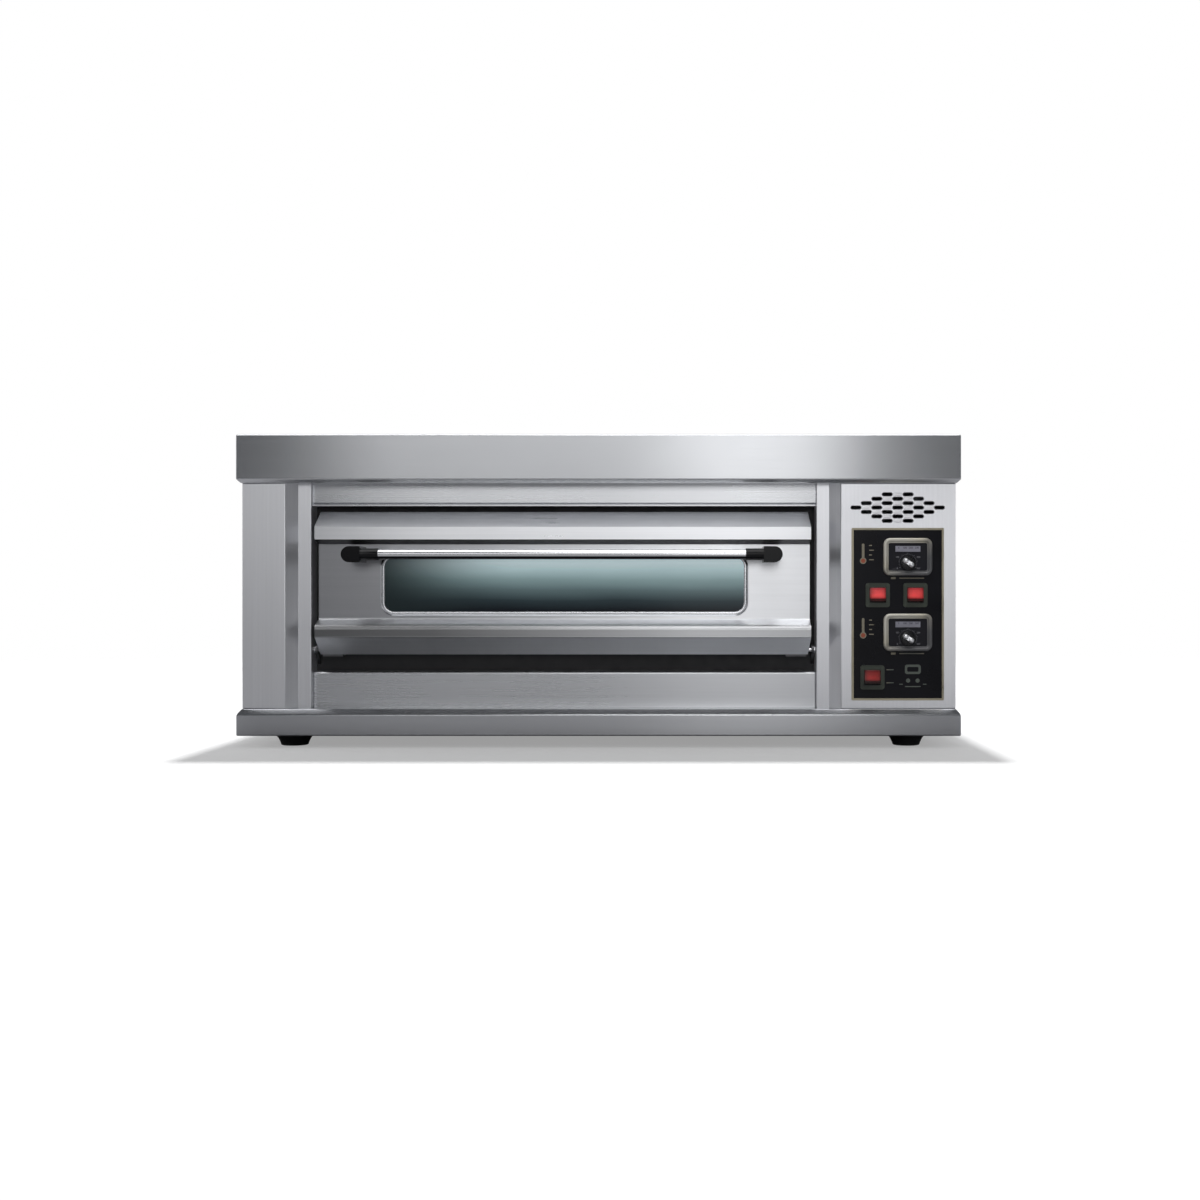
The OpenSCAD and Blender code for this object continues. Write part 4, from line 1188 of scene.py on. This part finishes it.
def vent_places(fewer):
    """Centres of the slots in every row, or, with one fewer, of the lands between them."""
    for row, slots in enumerate(SLOT_ROWS):
        count = slots - fewer
        for k in range(count):
            yield VENT_X + SLOT_PITCH_X * (k - (count - 1) / 2), VENT_Z + SLOT_PITCH_Z * (3 - row)


lands = bmesh.new()
for x, z in vent_places(1):
    skin(lands, [ring_of(lands, [
        (x + LAND_HALF_X * math.cos(a) * math.cos(b), FACE - 0.05 - LAND_RISE * math.sin(a),
         z + LAND_HALF_Z * math.cos(a) * math.sin(b)) for b in circle(24)]) for a in quarter(4)])
bmesh.ops.remove_doubles(lands, verts=lands.verts, dist=1e-7)
# the lands take the lighter steel, a painted highlight
even_normals(show("vent_lands", finish_mesh(lands, "vent_lands"), lands_painted_bright, "oven"), 60)
print("vent lands:", len(list(vent_places(1))))

# %% Painted shade rims round the slots
RIM_STEPS = [(2.3, 0.02), (2.35, 0.16), (3.3, 0.16), (3.5, 0.02)]
SLOT_STRAIGHT = 5.7
SLOT_ANGLES = [a + math.pi / 32 for a in circle(32)]
rims = bmesh.new()
for x, z in vent_places(0):
    skin(rims, [ring_of(rims, [
        (x + math.copysign(SLOT_STRAIGHT, math.cos(a)) + radius * math.cos(a), FACE - rise,
         z + radius * math.sin(a)) for a in SLOT_ANGLES]) for radius, rise in RIM_STEPS])
# painted shade round each slot
show("vent_shade_rims", finish_mesh(rims, "vent_shade_rims"), slot_painted_shade, "oven")
print("vent rims:", sum(SLOT_ROWS))

# %% [markdown]
# ## Floor
# The floor is plain and pale. It is nearly white to look at and mid grey as the steel sees it, like a white
# sweep with grey cards laid on it, so the lower faces of the oven keep their contrast. It also shines
# faintly itself, which keeps the shadow under the oven a soft grey. Far away it fades into the white
# background, so there is no horizon.

# %% Floor
FLOOR_SEEN = (0.66, 0.66, 0.66)
FLOOR_TO_STEEL = (0.30, 0.30, 0.31, 1)
FLOOR_GLOW = 0.33
FADE_START, FADE_END = 1.2, 4.2
ground = bmesh.new()
rings = [[ground.verts.new((reach * math.cos(a), reach * math.sin(a), 0.0))
          for a in circle(48)] for reach in (3.0, 12.0, 60.0)]
skin(ground, rings)
ground.faces.new(rings[0])
floor_mesh = finish_mesh(ground, "studio_floor")
floor_finish, tree, shader = fresh("studio_floor", Roughness=0.9, Specular_IOR_Level=0.1,
                                   Emission_Color=(1, 1, 1, 1))
by_camera = node(tree, "ShaderNodeLightPath").outputs["Is Camera Ray"]
feed(tree, shader, Base_Color=blend(tree, FLOOR_TO_STEEL, FLOOR_SEEN, by_camera),
     Emission_Strength=spread(tree, by_camera, 0.0, FLOOR_GLOW, 0.0, 1.0))
far = node(tree, "ShaderNodeVectorMath", {0: coordinates(tree)}, operation="LENGTH")
fade = spread(tree, far.outputs["Value"], 0.0, 1.0, FADE_START, FADE_END, interpolation_type="SMOOTHSTEP")
merged = node(tree, "ShaderNodeMixShader", {
    "Fac": fade, 1: shader.outputs["BSDF"], 2: node(tree, "ShaderNodeBsdfTransparent").outputs["BSDF"]})
tree.links.new(merged.outputs["Shader"], tree.nodes["Material Output"].inputs["Surface"])
floor_mesh.materials.append(floor_finish)
studio_floor = bpy.data.objects.new("studio_floor", floor_mesh)
bpy.context.scene.collection.objects.link(studio_floor)
print("floor laid")

# %% [markdown]
# ## Main lights
# A wide soft light stands in front beside the camera, so that the middle of the flat steel reads bright and
# its ends fall off into shade. A tall one on the right lifts that side, and one above the front catches the
# folds. A broad light hangs overhead, and dim large ones at the sides and behind keep those faces readable.


# %% Main lights
def softbox(name, place, aim, width, height, power):
    """A soft rectangular light; aim is the point it faces."""
    data = bpy.data.lights.new(name, "AREA")
    data.shape = "RECTANGLE"
    data.size = width
    data.size_y = height
    data.energy = power
    light = bpy.data.objects.new(name, data)
    light.location = place
    light.rotation_euler = (Vector(aim) - Vector(place)).to_track_quat("-Z", "Y").to_euler()
    bpy.context.scene.collection.objects.link(light)
    print(f"{name}: {power / (math.pi * width * height):.2f} W per m2 and sr")
    return light


MIDDLE = (0, 0, 0.3)
softbox("front_wide", (-0.22, -3.7, 1.05), (-0.22, 0, 0.75), 1.95, 1.1, 6.2)
softbox("front_right", (0.42, -3.65, 0.68), (0.42, 0, 0.45), 0.66, 1.5, 2.5)
softbox("front_top", (0.22, -2.7, 2.5), (0.1, -0.35, 0.3), 1.25, 0.9, 6.0)
overhead = softbox("overhead", (0.0, -0.6, 3.6), (0, -0.2, 0), 4.5, 4.0, 136.0)
left_side = softbox("left_side", (-4.2, -0.2, 1.5), MIDDLE, 3.6, 2.6, 27.0)
right_side = softbox("right_side", (4.2, 0.3, 1.5), MIDDLE, 3.6, 2.6, 27.0)
softbox("behind", (0.3, 4.4, 1.5), MIDDLE, 4.6, 2.6, 38.0)
softbox("behind_left", (-3.9, 3.6, 1.3), (0, 0.3, 0.3), 3.0, 2.4, 22.0)
softbox("behind_right", (4.0, 3.6, 1.3), (0, 0.3, 0.3), 3.0, 2.4, 22.0)

# %% [markdown]
# ## Lights that reach only some pieces
# A studio shades its lights with flags and grids, so that each one reaches only what it should. Light
# linking does the same: a light gets a collection of the pieces that it may fall on, or of those that it
# must skip.


# %% Light linking
def group_of(title, *starts):
    """A collection of the pieces whose names start with one of these words."""
    group = bpy.data.collections.new(title)
    for piece in bpy.context.scene.objects:
        if piece.name.startswith(starts):
            group.objects.link(piece)
    return group


def skipping(light, group):
    """The light falls on everything but the group."""
    for row in group.collection_objects:
        row.light_linking.link_state = "EXCLUDE"
    light.light_linking.receiver_collection = group


# %% [markdown]
# ## Pillar lights
# The upright grain of the pillars throws the front lights sideways, so they would look duller than the
# rest. Two gridded lights reach only them, their vent and the knob grips. The slanted reveals beside the
# door face each other across it, and each gets a light from the far side that nothing but the pillars can
# shade. The two big side lights skip the pillars, which would otherwise mirror them.

# %% Pillar lights
PILLARS = ("left_pillar", "control_fascia", "upper_knob_grip", "lower_knob_grip", "vent_lands")
pillar_group = group_of("pillar_group", *PILLARS)
for name, place, width, power in (("grid_right", (1.15, -3.6, 0.42), 1.3, 6.6),
                                  ("grid_left", (-1.0, -3.7, 0.62), 1.2, 2.8)):
    grid = softbox(name, place, (place[0] * 0.55, 0, 0.3), width, 1.15, power)
    grid.light_linking.receiver_collection = pillar_group
for name, place, aim, power in (("reveal_right", (-3.0, -0.7, 0.35), (0.37, -0.37, 0.28), 4.4),
                                ("reveal_left", (3.0, -0.7, 0.35), (-0.47, -0.37, 0.28), 1.2)):
    reveal = softbox(name, place, aim, 1.6, 1.4, power)
    reveal.light_linking.receiver_collection = pillar_group
    reveal.light_linking.blocker_collection = pillar_group
not_pillars = group_of("not_pillars", *PILLARS)
for light in (left_side, right_side):
    skipping(light, not_pillars)

# %% [markdown]
# ## Door, plinth and floor lights
# A small light over the camera reaches only the door and the fascia above it, and brightens their left
# part. The plinth's sloping top would mirror the overhead light, so that light skips it. The floor is lit
# by a light of its own, high up and behind the oven, so that the shadow has crisp ends and falls a short
# way to the front.

# %% Door, plinth and floor lights
door_light = softbox("door_light", (-0.33, -3.7, 0.95), (-0.33, 0, 0.8), 1.35, 0.7, 1.9)
door_light.light_linking.receiver_collection = group_of("door_group", "top_fascia", "door_panel")
skipping(overhead, group_of("kept_dark", "base_plinth", "studio_floor"))
floor_light = softbox("floor_light", (0.0, 3.1, 8.0), (0, 0, 0), 0.6, 0.9, 900.0)
floor_light.light_linking.receiver_collection = group_of("floor_group", "studio_floor")

# %% [markdown]
# ## Room tone
# The room itself is dim, so the steel keeps its contrast, but the background stays white. The world shows
# white to the camera only and lights the oven with a soft grey.

# %% World
world = bpy.data.worlds.new("studio_world")
world.use_nodes = True
bpy.context.scene.world = world
sky = world.node_tree
sky.nodes.clear()
seen = node(sky, "ShaderNodeBackground", {"Color": (1, 1, 1, 1), "Strength": 1.0})
room = node(sky, "ShaderNodeBackground", {"Color": (0.92, 0.95, 1.0, 1), "Strength": 0.10})
choose = node(sky, "ShaderNodeMixShader", {
    "Fac": node(sky, "ShaderNodeLightPath").outputs["Is Camera Ray"],
    1: room.outputs["Background"], 2: seen.outputs["Background"]})
node(sky, "ShaderNodeOutputWorld", {"Surface": choose.outputs["Shader"]})
print("world set")
